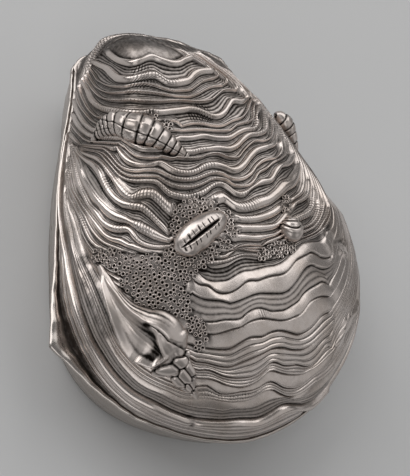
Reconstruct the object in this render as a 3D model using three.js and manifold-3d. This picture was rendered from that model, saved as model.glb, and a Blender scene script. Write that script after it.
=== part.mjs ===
// Silver snuff box in the form of an oyster: a domed upper valve hinged over a lower valve.
// Millimetres, +Z up, origin at the middle of the outline on the plane that the foot rests on.
// The hinge lies along X at the back (+Y), and the lip's corner is at the front (-Y).
import * as THREE from "three";
import { mergeVertices } from "three/addons/utils/BufferGeometryUtils.js";
import Module from "manifold-3d";

const wasm = await Module();
wasm.setup();

// Sheet metal and heights
const SHEET = 1.0;
const BASE_HEIGHT = 13.0;
const LID_RISE = 22.5;

// Hinge
const HINGE_LENGTH = 38.0;
const HINGE_X = -3.0;
const HINGE_WALL_Y = 33.5;
const KNUCKLES = 7;
const BARREL_RADIUS = 1.3;
const PIN_RADIUS = 0.65;
const PIN_CLEARANCE = 0.05;
const KNUCKLE_GAP = 0.12;
const PLUG_LENGTH = 0.8;
const BEARER_DEPTH = 3.4;
const BEARER_GAP = 0.15;
const BEARER_EDGE = 0.6;
const BEARER_FAR_ANGLE = THREE.MathUtils.degToRad(78);
const BEARER_FLATS = [1.0, 0.7, 0.45];
const BEARER_STEPS = 6;
const WALL_GAP = 0.3;
const BARREL_SIDES = 20;

// Plan of the rim, counterclockwise from the right; past HINGE_WALL_Y it is cut straight for the hinge
const HINGE_RIGHT = HINGE_X + HINGE_LENGTH / 2;
const HINGE_LEFT = HINGE_X - HINGE_LENGTH / 2;
const HINGE_CORNER_OUT = 4.5;
const HINGE_CORNER_IN = 1.0;
const BACK_BULGE = 3.0;
const BACK_RIGHT = 10.0;
const BACK_LEFT = 5.0;
const BACK_EASE = 0.5;
const RIM_PLAN = [
  [38.5, -4.0],
  [37.5, 11.5],
  [31.5, 24.0],
  [HINGE_RIGHT + HINGE_CORNER_OUT, HINGE_WALL_Y - HINGE_CORNER_IN],
  [HINGE_X + BACK_RIGHT, HINGE_WALL_Y + BACK_BULGE - BACK_EASE],
  [HINGE_X - BACK_LEFT, HINGE_WALL_Y + BACK_BULGE],
  [HINGE_LEFT - HINGE_CORNER_IN, HINGE_WALL_Y + BACK_EASE],
  [-34.0, 28.0],
  [-42.3, 19.0],
  [-37.4, 10.4],
  [-28.0, -4.0],
  [-17.6, -16.6],
  [-7.5, -26.5],
  [5.0, -31.4],
  [18.0, -29.6],
  [32.4, -19.0],
];

// Dome of the upper valve: full and steep towards the beak, easier everywhere else
const FLANK_POWER = 1.7;
const BEAK_EXTRA_POWER = 8.4;
const BEAK_FOCUS = 4.1;
const BEAK_TURN = THREE.MathUtils.degToRad(146.5);

// Growth ridges of the upper valve, from the beak outwards: the places in plan where each crest bends.
// Each runs left to right. Spokes go in plan from the beak to the rim, and places count from SEAM_AT on.
const BEAK_PLAN = new THREE.Vector2(-36.0, 20.0);
const SEAM_AT = 8.3;
const RAISED_CRESTS = [
  [[-40.3, 14.8], [-33.4, 9.2], [-31.2, 9.4], [-28.7, 12.9], [-25.2, 14.3], [-23.5, 17.7],
    [-23.4, 21.0], [-21.5, 24.2]],
  [[-39.2, 13.0], [-31.5, 3.9], [-27.5, 3.1], [-25.2, 4.2], [-19.4, 12.5], [-14.4, 16.5], [-14.6, 21.8],
    [-12.9, 25.6]],
  [[-38.3, 11.7], [-29.7, 0.3], [-16.6, 5.9], [-9.9, 14.4], [-7.8, 20.6], [-10.1, 27.6]],
  [[-34.0, 5.0], [-29.1, -1.6], [-23.5, -3.1], [-20.7, -4.5], [-18.0, -4.2], [-15.8, -1.6],
    [-10.4, 1.6], [-8.6, 6.7], [-5.0, 9.4], [-4.3, 17.5], [-2.9, 22.1], [-4.3, 26.4]],
  [[-28.4, -2.5], [-17.9, -7.3], [-13.5, -4.8], [-8.6, -3.8], [-6.2, -0.5], [-4.7, 5.0], [-0.1, 7.4],
    [1.7, 14.8], [1.4, 25.2]],
  [[-29.8, -0.9], [-26.8, -3.9], [-15.9, -9.3], [-12.8, -7.0], [-6.4, -6.0], [-3.2, 1.1], [1.1, 4.5],
    [4.2, 11.4], [4.9, 19.2], [3.4, 24.7]],
  [[-29.7, -1.3], [-23.7, -7.9], [-17.5, -12.0], [-13.9, -12.8], [-3.6, -10.9], [3.0, -0.1], [6.9, 5.0],
    [8.7, 9.0], [8.8, 20.6], [6.9, 24.4]],
  [[-30.1, -0.9], [-23.3, -9.3], [-18.6, -12.9], [-13.1, -15.8], [-8.3, -15.7], [6.1, -2.9], [9.6, 2.6],
    [12.5, 13.4], [13.2, 18.5], [11.0, 22.5]],
];
const TERRACE_EDGES = [
  [[-21.5, -11.6], [-12.4, -18.9], [-7.5, -20.6], [3.7, -11.4], [6.4, -11.3], [8.5, -9.5], [14.0, 2.3],
    [15.0, 11.7], [17.0, 15.9], [16.6, 20.2]],
  [[3.7, -13.0], [9.3, -11.3], [11.4, -9.3], [12.5, -4.5], [16.0, 2.2], [17.4, 12.1], [20.9, 16.7]],
  [[9.4, -17.9], [13.4, -15.1], [16.4, -11.0], [17.5, -6.4], [21.5, -1.7], [23.1, 10.3], [25.3, 11.8]],
  [[15.9, -18.8], [18.9, -15.6], [23.5, -5.1], [26.5, -2.1], [28.4, 8.8]],
  [[15.9, -21.8], [21.4, -17.3], [24.8, -8.5], [29.0, -3.0], [30.0, 2.1]],
  [[17.4, -22.3], [23.2, -17.9], [25.5, -15.0], [26.4, -10.3], [32.8, -1.8], [33.2, 5.2]],
  [[-22.7, -10.6], [-13.6, -19.3], [-0.1, -26.8], [19.9, -23.1], [25.1, -19.4], [27.5, -16.1],
    [29.1, -11.9], [33.0, -8.3], [35.4, 2.6]],
  [[-24.0, -9.1], [-16.0, -17.7], [-6.8, -24.9], [-0.9, -28.0], [8.1, -29.9], [22.7, -24.6],
    [29.3, -18.0], [34.9, -8.2]],
  [[-21.4, -12.2], [-12.9, -21.1], [-6.5, -26.2], [2.6, -30.0], [18.7, -28.2], [26.3, -23.2],
    [34.0, -11.2], [37.0, -6.1]],
  [[-19.9, -14.0], [-10.6, -23.8], [-4.0, -28.2], [6.3, -31.2], [15.8, -30.2], [24.2, -25.8],
    [33.0, -17.2]],
];

// A line that starts further round than this is a short one: it is spread between its neighbours past its ends
const SHORT_START = 14.0;

// Section across the band after a line: share of the way to the next line, and share of the ridge height
const RIDGE_HEIGHT = 0.5;
const FULL_BAND = 2.0;
const RIDGE_FADE = 3.0;
const LEAST_STAGE = 0.012;
const BEAK_SECTION = [
  [0.5, 0.0],
  [0.86, 1.0],
];
const RAISED_SECTION = [
  [0.14, 1.0],
  [0.28, 0.05],
  [0.72, 0.05],
  [0.86, 1.0],
];
const LAST_RAISED_SECTION = [
  [0.14, 1.0],
  [0.28, 0.05],
  [0.94, 0.7],
];
const TERRACE_SECTION = [
  [0.06, 0.0],
  [0.5, 0.6],
  [0.94, 0.9],
];

// Lower valve: flat foot, bowl and flared lip
const FOOT_SCALE = 0.7;
const FOOT_SHIFT = new THREE.Vector2(-1.0, -5.0);
const LIP_WIDTH = 1.0;
const LIP_CORNER_WIDTH = 4.6;
const LIP_CORNER_AT = 12.35;
const LIP_CORNER_SPREAD = 0.55;
const LIP_BACK_WIDTH = 1.2;
const LIP_BACK_AT = 18.2;
const LIP_START = 7.7;
const LIP_END = 18.6;
const LIP_TAPER = 0.6;
const LIP_END_SHARE = 0.25;
const LIP_DROP = 2.2;
const LIP_EDGE = 0.9;
const LIP_RIM_DROP = 0.15;
const LIP_EDGE_WIDTH = 0.2;
const LIP_UNDERCUT = 0.85;
const GUTTER_DEPTH = 0.8;
const GUTTER_SLOPE = 0.4;
const GUTTER_AT = 0.45;

// Bezel band that the lid closes over
const BEZEL_WALL = 0.6;
const BEZEL_DROP = 1.5;
const BEZEL_RISE = 1.3;
const BEZEL_CLEARANCE = 0.3;

// Relief shells: plan place on the dome, half width there, and how far the axis stands off the dome
const SEAT_GAP = 0.3;
const SHELL_SIDES = 14;
const COWRIE_FLATNESS = 0.75;
const COWRIE = [
  [-1.7, -11.6, 0.5, 0.4],
  [-1.5, -10.6, 1.7, 0.5],
  [-1.2, -8.6, 2.6, 0.6],
  [-0.8, -6.0, 2.9, 0.7],
  [-0.3, -3.2, 2.7, 0.6],
  [0.1, -0.8, 1.8, 0.5],
  [0.3, 0.4, 0.6, 0.4],
];
const AUGER_FLATNESS = 0.85;
const AUGER = [
  [-26.4, -3.2, 0.7, 0.3],
  [-26.2, -1.9, 1.7, 0.5],
  [-25.2, -0.3, 2.5, 0.8],
  [-23.4, 1.0, 2.9, 1.0],
  [-21.2, 1.8, 2.7, 1.0],
  [-19.0, 2.3, 2.3, 0.8],
  [-17.0, 2.8, 1.9, 0.7],
  [-15.0, 3.4, 1.4, 0.5],
  [-12.6, 4.2, 0.6, 0.3],
];
const MOON_SNAIL_FLATNESS = 0.9;
const MOON_SNAIL = [
  [12.9, 9.2, 0.9, 0.6],
  [12.3, 9.8, 2.0, 0.9],
  [11.4, 10.7, 2.4, 1.1],
  [10.5, 11.6, 1.9, 1.0],
  [9.9, 12.2, 1.1, 0.8],
  [9.3, 12.8, 0.4, 0.6],
];
const WHELK_FLATNESS = 0.6;
const WHELK = [
  [-9.6, -20.4, 0.5, 0.3],
  [-7.0, -21.4, 1.3, 0.6],
  [-3.4, -22.8, 2.6, 0.9],
  [0.4, -23.8, 3.9, 1.1],
  [4.0, -24.4, 5.3, 1.2],
  [7.2, -24.5, 5.9, 1.2],
  [9.8, -24.5, 5.2, 1.2],
  [11.4, -24.5, 3.6, 1.1],
  [13.6, -24.5, 3.1, 1.0],
  [14.4, -24.5, 2.4, 0.9],
  [16.9, -24.5, 2.0, 0.8],
  [17.6, -24.5, 1.4, 0.7],
  [21.2, -24.3, 0.4, 0.4],
];
const SIDE_SHELL_FLATNESS = 0.9;
const SIDE_SHELL = [
  [-7.1, 30.2, 0.5, 0.9],
  [-6.1, 30.4, 1.4, 1.3],
  [-4.4, 30.6, 2.0, 1.6],
  [-2.4, 30.8, 1.7, 1.4],
  [-0.6, 30.8, 1.1, 1.0],
  [0.8, 30.8, 0.4, 0.6],
];

// How finely the two valves are divided
const AROUND = 84;
const FLANK_RINGS = 6;
const INNER_RINGS = 6;
const RIM_CROWDING = 1.6;
const LIP_STATIONS = 66;
const FINER = 10;
const NORMAL_STEP = 0.02;
const TIP_LENGTH = 0.6;

const AXIS_Y = HINGE_WALL_Y + WALL_GAP + BARREL_RADIUS;
const RIM_Z = BASE_HEIGHT;

const rimCurve = new THREE.CatmullRomCurve3(
  RIM_PLAN.map(([x, y]) => new THREE.Vector3(x, y, 0)),
  true,
  "catmullrom",
  0.5,
);

// The rim's outline in plan, where at counts the points of RIM_PLAN.
function rimPoint(at) {
  const turn = at / RIM_PLAN.length;
  const p = rimCurve.getPoint(turn - Math.floor(turn));
  return new THREE.Vector2(p.x, Math.min(p.y, HINGE_WALL_Y));
}

// The outline moved outwards by a distance, along its own normal.
function rimOffset(at, distance) {
  const along = rimPoint(at + NORMAL_STEP).sub(rimPoint(at - NORMAL_STEP)).normalize();
  return rimPoint(at).add(new THREE.Vector2(along.y, -along.x).multiplyScalar(distance));
}

const RIM_STEPS = Array.from({ length: AROUND }, (_, k) => (k * RIM_PLAN.length) / AROUND);
const FINE_COUNT = AROUND * FINER;
const FINE_STEPS = Array.from({ length: FINE_COUNT }, (_, k) => (k * RIM_PLAN.length) / FINE_COUNT);
const FINE_RIM = FINE_STEPS.map(rimPoint);

// Where a ray in plan leaves the outline: how far away, and the place there, counted as in RIM_PLAN.
function rimCrossing(from, ray) {
  for (let k = 0; k < FINE_RIM.length; k += 1) {
    const a = FINE_RIM[k].clone().sub(from);
    const b = FINE_RIM[(k + 1) % FINE_RIM.length].clone().sub(from);
    if (ray.cross(a) <= 0 && ray.cross(b) > 0 && a.dot(ray) > 0) {
      const share = -ray.cross(a) / (ray.cross(b) - ray.cross(a));
      const at = FINE_STEPS[k] + (share * RIM_PLAN.length) / FINE_COUNT;
      return { reach: a.lerp(b, share).length(), at };
    }
  }
  return { reach: FINE_RIM[0].distanceTo(from), at: 0 };
}

const ORIGIN = new THREE.Vector2();

function domePower(angle) {
  return FLANK_POWER + BEAK_EXTRA_POWER * (0.5 + 0.5 * Math.cos(angle - BEAK_TURN)) ** BEAK_FOCUS;
}

// Share of the way from the origin to the rim, raised to the dome's power there.
function domeShare(x, y) {
  const angle = Math.atan2(y, x);
  const { reach } = rimCrossing(ORIGIN, new THREE.Vector2(Math.cos(angle), Math.sin(angle)));
  return (Math.hypot(x, y) / reach) ** domePower(angle);
}

// The dome is the surface where (height / rise) squared plus the share comes to 1.
function domePoint(x, y) {
  const height = LID_RISE * Math.sqrt(Math.max(0, 1 - domeShare(x, y)));
  return new THREE.Vector3(x, y, RIM_Z + height);
}

function domeNormal(p) {
  const h = NORMAL_STEP;
  const shareX = (domeShare(p.x + h, p.y) - domeShare(p.x - h, p.y)) / (2 * h);
  const shareY = (domeShare(p.x, p.y + h) - domeShare(p.x, p.y - h)) / (2 * h);
  return new THREE.Vector3(shareX, shareY, (2 * (p.z - RIM_Z)) / LID_RISE ** 2).normalize();
}

// One closed surface through rings of points that run counterclockwise seen from above.
// A pole closes each end; without poles the last ring joins the first.
function solidFromRings(rings, firstPole, lastPole) {
  const count = rings[0].length;
  const points = rings.flat();
  const index = [];
  const quads = (a, b) => {
    for (let k = 0; k < count; k += 1) {
      const next = (k + 1) % count;
      index.push(a * count + k, a * count + next, b * count + next);
      index.push(a * count + k, b * count + next, b * count + k);
    }
  };
  for (let ring = 0; ring + 1 < rings.length; ring += 1) quads(ring, ring + 1);
  if (firstPole && lastPole) {
    points.push(firstPole, lastPole);
    const last = (rings.length - 1) * count;
    for (let k = 0; k < count; k += 1) {
      const next = (k + 1) % count;
      index.push(points.length - 2, next, k);
      index.push(points.length - 1, last + k, last + next);
    }
  } else {
    quads(rings.length - 1, 0);
  }
  const geometry = new THREE.BufferGeometry().setFromPoints(points);
  geometry.setIndex(index);
  return geometry;
}

function toManifold(geometry) {
  const bare = new THREE.BufferGeometry().setAttribute("position", geometry.getAttribute("position"));
  bare.setIndex(geometry.index);
  const merged = mergeVertices(bare, 1e-4);
  return new wasm.Manifold(
    new wasm.Mesh({
      numProp: 3,
      vertProperties: new Float32Array(merged.getAttribute("position").array),
      triVerts: new Uint32Array(merged.index.array),
    }),
  );
}

function fromManifold(solid) {
  const mesh = solid.getMesh();
  const geometry = new THREE.BufferGeometry();
  geometry.setAttribute("position", new THREE.BufferAttribute(new Float32Array(mesh.vertProperties), 3));
  geometry.setIndex(new THREE.BufferAttribute(new Uint32Array(mesh.triVerts), 1));
  return geometry;
}

// A line's stage where each column crosses it. Stage runs from 0 at the beak to 1 at the rim, and the sine of
// its quarter turn is the share of the way in plan. The line is straight between its places and closes
// at the back.
function lineStages(places) {
  const knots = places.map(([x, y]) => {
    const away = new THREE.Vector2(x, y).sub(BEAK_PLAN);
    const { reach, at } = rimCrossing(BEAK_PLAN, away.clone().normalize());
    const stage = Math.asin(Math.min(1, away.length() / reach)) / (Math.PI / 2);
    return { at: at < SEAM_AT ? at + RIM_PLAN.length : at, stage };
  });
  knots.push({ at: knots[0].at + RIM_PLAN.length, stage: knots[0].stage });
  const stages = RIM_STEPS.map((step) => {
    const at = step < knots[0].at ? step + RIM_PLAN.length : step;
    const next = Math.max(1, knots.findIndex((knot) => knot.at >= at));
    const [low, high] = [knots[next - 1], knots[next]];
    return THREE.MathUtils.mapLinear(at, low.at, high.at, low.stage, high.stage);
  });
  const last = knots[knots.length - 2].at;
  const read = RIM_STEPS.map((step) => {
    const at = step < knots[0].at ? step + RIM_PLAN.length : step;
    return knots[0].at < SHORT_START || at <= last;
  });
  return { stages, read };
}

// Every line at every column, the beak first and the rim last, each a little further out than the last.
function growthTable() {
  const lines = [...RAISED_CRESTS, ...TERRACE_EDGES].map(lineStages);
  const beak = { stages: RIM_STEPS.map(() => 0), read: RIM_STEPS.map(() => true) };
  const rim = { stages: RIM_STEPS.map(() => 1), read: RIM_STEPS.map(() => true) };
  const all = [beak, ...lines, rim];
  return RIM_STEPS.map((_, column) => {
    const known = all.map((line) => line.read[column]);
    const stages = all.map((line, k) => {
      if (known[k]) return line.stages[column];
      const before = known.lastIndexOf(true, k);
      const after = known.indexOf(true, k);
      const [start, end] = [all[before].stages[column], all[after].stages[column]];
      return THREE.MathUtils.mapLinear(k, before, after, start, end);
    });
    for (let k = 1; k < stages.length; k += 1) stages[k] = Math.max(stages[k], stages[k - 1] + LEAST_STAGE);
    stages[stages.length - 1] = 1;
    for (let k = stages.length - 2; k > 0; k -= 1) {
      stages[k] = Math.min(stages[k], stages[k + 1] - LEAST_STAGE);
    }
    return stages;
  });
}

const GROWTH = growthTable();

function columnPoint(column, stage) {
  const toRim = rimPoint(RIM_STEPS[column]).sub(BEAK_PLAN);
  const plan = toRim.multiplyScalar(Math.sin((stage * Math.PI) / 2)).add(BEAK_PLAN);
  return domePoint(plan.x, plan.y);
}

// A ring of the chased surface in the band after a line: narrow bands are lower, and the back is smooth.
function growthRing(line, share, height) {
  return RIM_STEPS.map((_, column) => {
    const [start, end] = [GROWTH[column][line], GROWTH[column][line + 1]];
    const width = columnPoint(column, start).distanceTo(columnPoint(column, end));
    const onDome = columnPoint(column, THREE.MathUtils.lerp(start, end, share));
    const fade = THREE.MathUtils.clamp((HINGE_WALL_Y - onDome.y) / RIDGE_FADE, 0, 1);
    const relief = RIDGE_HEIGHT * height * fade * Math.min(1, width / FULL_BAND);
    return onDome.clone().addScaledVector(domeNormal(onDome), relief);
  });
}

function bandSection(line) {
  if (line === 0) return BEAK_SECTION;
  if (line < RAISED_CRESTS.length) return RAISED_SECTION;
  return line === RAISED_CRESTS.length ? LAST_RAISED_SECTION : TERRACE_SECTION;
}

// The outer surface of the upper valve from the rim up to the beak, standing off by an extra distance.
function lidOuterRings(standOff) {
  const lines = RAISED_CRESTS.length + TERRACE_EDGES.length;
  const rings = [RIM_STEPS.map((_, column) => columnPoint(column, 1))];
  for (let line = lines; line >= 0; line -= 1) {
    for (const [share, height] of [...bandSection(line)].reverse()) {
      rings.push(growthRing(line, share, height));
    }
  }
  if (standOff === 0) return rings;
  return rings.map((ring) =>
    ring.map((p) => {
      const onDome = new THREE.Vector3(p.x, p.y, Math.max(p.z, RIM_Z));
      return p.clone().addScaledVector(domeNormal(onDome), standOff);
    }),
  );
}

function beakPoint(standOff) {
  const p = domePoint(BEAK_PLAN.x, BEAK_PLAN.y);
  return p.addScaledVector(domeNormal(p), standOff);
}

// The hollow under the dome: the same dome drawn in by the sheet's thickness.
function lidInnerRings() {
  const rings = [];
  for (let ring = 1; ring <= INNER_RINGS; ring += 1) {
    const stage = 1 - (1 - ring / INNER_RINGS) ** RIM_CROWDING;
    const reach = Math.sin((stage * Math.PI) / 2);
    rings.push(
      RIM_STEPS.map((at) => {
        const outer = rimPoint(at).multiplyScalar(reach);
        const share = ring === INNER_RINGS ? 1 : domeShare(outer.x, outer.y);
        const plan = rimOffset(at, -SHEET).multiplyScalar(reach);
        const height = (LID_RISE - SHEET) * Math.sqrt(Math.max(0, 1 - share));
        return new THREE.Vector3(plan.x, plan.y, RIM_Z + height);
      }),
    );
  }
  return rings;
}

function lid() {
  const crown = new THREE.Vector3(0, 0, RIM_Z + LID_RISE - SHEET);
  return solidFromRings([...lidInnerRings(), ...lidOuterRings(0)], crown, beakPoint(0));
}

// A point of the bowl: a quarter ellipse from the foot (turn 0) up to the rim (turn 1).
function bowlPoint(rim, turn, floor) {
  const lean = FOOT_SCALE + (1 - FOOT_SCALE) * Math.sin((turn * Math.PI) / 2);
  const shift = FOOT_SHIFT.clone().multiplyScalar((1 - lean) / (1 - FOOT_SCALE));
  const height = (RIM_Z - floor) * (1 - Math.cos((turn * Math.PI) / 2));
  return new THREE.Vector3(rim.x * lean + shift.x, rim.y * lean + shift.y, floor + height);
}

function bowl() {
  const rings = [];
  for (let ring = 0; ring <= FLANK_RINGS; ring += 1) {
    rings.push(RIM_STEPS.map((at) => bowlPoint(rimPoint(at), ring / FLANK_RINGS, 0)));
  }
  for (let ring = FLANK_RINGS; ring >= 0; ring -= 1) {
    rings.push(RIM_STEPS.map((at) => bowlPoint(rimOffset(at, -SHEET), ring / FLANK_RINGS, SHEET)));
  }
  const under = new THREE.Vector3(FOOT_SHIFT.x, FOOT_SHIFT.y, 0);
  const inside = new THREE.Vector3(FOOT_SHIFT.x, FOOT_SHIFT.y, SHEET);
  return solidFromRings(rings, under, inside);
}

// The lip is widest at its front corner, a little wider again at the back right, and dies out at the hinge.
function lipWidth(at) {
  const corner = LIP_CORNER_WIDTH * Math.exp(-Math.abs(at - LIP_CORNER_AT) / LIP_CORNER_SPREAD);
  const back = LIP_BACK_WIDTH * Math.exp(-Math.abs(at - LIP_BACK_AT) / LIP_CORNER_SPREAD);
  const ends = Math.min((at - LIP_START) / LIP_TAPER, (LIP_END - at) / LIP_TAPER, 1);
  return (LIP_WIDTH + corner + back) * THREE.MathUtils.lerp(LIP_END_SHARE, 1, ends);
}

// Section of the lip at one place: its root lies in the bowl's wall, a gutter runs above, the edge turns up.
function lipSection(at) {
  const width = lipWidth(at);
  const gutter = Math.min(GUTTER_DEPTH, GUTTER_SLOPE * width);
  const root = -SHEET / 2;
  const profile = [
    [root, -LIP_DROP],
    [LIP_UNDERCUT * width, -LIP_EDGE - LIP_RIM_DROP],
    [width, -LIP_EDGE / 2 - LIP_RIM_DROP],
    [width - LIP_EDGE_WIDTH, -LIP_RIM_DROP],
    [GUTTER_AT * width, -gutter - LIP_RIM_DROP],
    [root, -gutter / 2 - LIP_RIM_DROP],
  ];
  return profile.map(([out, up]) => {
    const plan = rimOffset(at, out);
    return new THREE.Vector3(plan.x, plan.y, RIM_Z + up);
  });
}

function lip() {
  const sections = [];
  for (let k = 0; k <= LIP_STATIONS; k += 1) {
    const share = k / LIP_STATIONS;
    sections.push(lipSection(LIP_START + (LIP_END - LIP_START) * share).reverse());
  }
  const sum = (section) => section.reduce((total, p) => total.add(p), new THREE.Vector3());
  const middle = (section) => sum(section).divideScalar(section.length);
  return solidFromRings(sections, middle(sections[0]), middle(sections[sections.length - 1]));
}

function lowerValve() {
  return fromManifold(toManifold(bowl()).add(toManifold(lip())));
}

function bezel() {
  const outer = -(SHEET + BEZEL_CLEARANCE);
  const band = (inset, z) =>
    RIM_STEPS.map((at) => {
      const plan = rimOffset(at, inset);
      return new THREE.Vector3(plan.x, plan.y, z);
    });
  return solidFromRings([
    band(outer, RIM_Z - BEZEL_DROP),
    band(outer, RIM_Z + BEZEL_RISE),
    band(outer - BEZEL_WALL, RIM_Z + BEZEL_RISE),
    band(outer - BEZEL_WALL, RIM_Z - BEZEL_DROP),
  ]);
}

// Outer face of the lower valve at the hinge, at a depth below the rim.
function baseWallY(depth) {
  const turn = Math.acos(depth / RIM_Z) / (Math.PI / 2);
  return bowlPoint(new THREE.Vector2(0, HINGE_WALL_Y), turn, 0).y;
}

// Outer face of the upper valve at the hinge, at a height above the rim.
function lidWallY(height) {
  const share = 1 - (height / LID_RISE) ** 2;
  return HINGE_WALL_Y * share ** (1 / domePower(Math.PI / 2));
}

// Seat of the hinge tubes: a bar that follows the wall on one side and the barrel on the other.
// side is -1 under the barrel, on the lower valve, and 1 above it, on the lid.
function bearer(side, wallY) {
  const seatRadius = BARREL_RADIUS + BEARER_GAP;
  const nearWall = Math.PI - Math.acos(BARREL_RADIUS / seatRadius);
  const shape = new THREE.Shape();
  for (let k = 0; k <= BEARER_STEPS; k += 1) {
    const angle = THREE.MathUtils.lerp(nearWall, BEARER_FAR_ANGLE, k / BEARER_STEPS);
    const point = [seatRadius * Math.cos(angle), side * seatRadius * Math.sin(angle)];
    if (k === 0) shape.moveTo(...point);
    else shape.lineTo(...point);
  }
  shape.lineTo(seatRadius * Math.cos(BEARER_FAR_ANGLE), side * (seatRadius + BEARER_EDGE));
  for (const share of BEARER_FLATS) {
    const depth = share * BEARER_DEPTH;
    shape.lineTo(wallY(depth) + WALL_GAP - AXIS_Y, side * depth);
  }
  shape.closePath();
  const bar = new THREE.ExtrudeGeometry(shape, { depth: HINGE_LENGTH, bevelEnabled: false });
  // The shape's x and y become the part's y and z, and its depth runs along X.
  bar.applyMatrix4(new THREE.Matrix4().set(0, 0, 1, 0, 1, 0, 0, 0, 0, 1, 0, 0, 0, 0, 0, 1));
  return bar;
}

// A tube or pin turned about the hinge axis, from its left end.
function turned(length, outer, inner) {
  const profile = [
    [inner, 0],
    [outer, 0],
    [outer, length],
    [inner, length],
  ];
  if (inner > 0) profile.push([inner, 0]);
  const lathe = new THREE.LatheGeometry(
    profile.map(([r, y]) => new THREE.Vector2(r, y)),
    BARREL_SIDES,
  );
  return lathe.rotateZ(-Math.PI / 2);
}

// A relief shell: rings square to a line over the dome, cut off where the dome's own surface stands.
// Flatness is its height over its width.
function reliefShell(stations, flatness) {
  const centres = stations.map(([x, y, , standOff]) => {
    const p = domePoint(x, y);
    return p.addScaledVector(domeNormal(p), standOff);
  });
  const rings = stations.map(([x, y, radius], k) => {
    const before = centres[Math.max(k - 1, 0)];
    const after = centres[Math.min(k + 1, centres.length - 1)];
    const ahead = after.clone().sub(before).normalize();
    const up = domeNormal(domePoint(x, y));
    const side = new THREE.Vector3().crossVectors(up, ahead).normalize();
    const lift = new THREE.Vector3().crossVectors(ahead, side);
    return Array.from({ length: SHELL_SIDES }, (_, n) => {
      const angle = (2 * Math.PI * n) / SHELL_SIDES;
      return centres[k]
        .clone()
        .addScaledVector(side, radius * Math.cos(angle))
        .addScaledVector(lift, flatness * radius * Math.sin(angle));
    });
  });
  const last = centres.length - 1;
  const tip = (from, to, radius) => to.clone().sub(from).setLength(radius * TIP_LENGTH).add(to);
  const first = tip(centres[1], centres[0], stations[0][2]);
  const end = tip(centres[last - 1], centres[last], stations[last][2]);
  const form = solidFromRings(rings, first, end);
  return fromManifold(toManifold(form).subtract(domeCutter));
}

const cutterFloor = new THREE.Vector3(0, 0, RIM_Z - 1);
const domeCutter = toManifold(solidFromRings(lidOuterRings(SEAT_GAP), cutterFloor, beakPoint(SEAT_GAP)));

const silver = { color: 0xc9c5be, metalness: 1.0, roughness: 0.28 };
const chased = { color: 0xa8a29a, metalness: 1.0, roughness: 0.34 };
const polished = { color: 0xd6d3cd, metalness: 1.0, roughness: 0.18 };
const gilt = { color: 0xd9b25a, metalness: 1.0, roughness: 0.3 };

function piece(name, geometry, finish) {
  const mesh = new THREE.Mesh(geometry, new THREE.MeshStandardMaterial(finish));
  geometry.computeVertexNormals();
  mesh.name = name;
  return mesh;
}

// The hinge is laid out along X from its own left end, on the hinge axis.
function hinge() {
  const group = new THREE.Group();
  group.position.set(HINGE_LEFT, AXIS_Y, RIM_Z);
  const boreRadius = PIN_RADIUS + PIN_CLEARANCE;
  const knuckleLength = (HINGE_LENGTH - (KNUCKLES - 1) * KNUCKLE_GAP) / KNUCKLES;
  for (let k = 0; k < KNUCKLES; k += 1) {
    const owner = k % 2 === 0 ? "base" : "lid";
    const tube = turned(knuckleLength, BARREL_RADIUS, boreRadius);
    const knuckle = piece(`${owner}_knuckle_${Math.floor(k / 2) + 1}`, tube, silver);
    knuckle.position.x = k * (knuckleLength + KNUCKLE_GAP);
    group.add(knuckle);
  }
  const pinStart = PLUG_LENGTH + KNUCKLE_GAP;
  const pin = piece("hinge_pin", turned(HINGE_LENGTH - 2 * pinStart, PIN_RADIUS, 0), polished);
  pin.position.x = pinStart;
  const left = piece("pin_plug_left", turned(PLUG_LENGTH, PIN_RADIUS, 0), silver);
  const right = piece("pin_plug_right", turned(PLUG_LENGTH, PIN_RADIUS, 0), silver);
  right.position.x = HINGE_LENGTH - PLUG_LENGTH;
  group.add(pin, left, right);
  group.add(piece("base_hinge_bearer", bearer(-1, baseWallY), silver));
  group.add(piece("lid_hinge_bearer", bearer(1, lidWallY), silver));
  return group;
}

const snuffBox = new THREE.Group();
snuffBox.add(piece("lower_valve", lowerValve(), silver));
snuffBox.add(piece("mouth_bezel", bezel(), gilt));
snuffBox.add(piece("lid", lid(), chased));
snuffBox.add(hinge());
snuffBox.add(piece("auger_shell", reliefShell(AUGER, AUGER_FLATNESS), polished));
snuffBox.add(piece("cowrie_shell", reliefShell(COWRIE, COWRIE_FLATNESS), polished));
snuffBox.add(piece("moon_snail", reliefShell(MOON_SNAIL, MOON_SNAIL_FLATNESS), polished));
snuffBox.add(piece("whelk_shell", reliefShell(WHELK, WHELK_FLATNESS), polished));
snuffBox.add(piece("side_shell", reliefShell(SIDE_SHELL, SIDE_SHELL_FLATNESS), polished));

export default snuffBox;
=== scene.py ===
"""Looks of a silver snuff box in the form of an oyster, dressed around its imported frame.

Every surface is worked out with numpy in millimetres and put into Blender in metres.
The upper valve is a lattice. Its rows follow the growth lines and its columns run from the beak to the rim.
"""

import logging
import math
from dataclasses import dataclass, field
from enum import Enum
from functools import partial

import bpy
import numpy as np
from mathutils import Matrix

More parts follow.
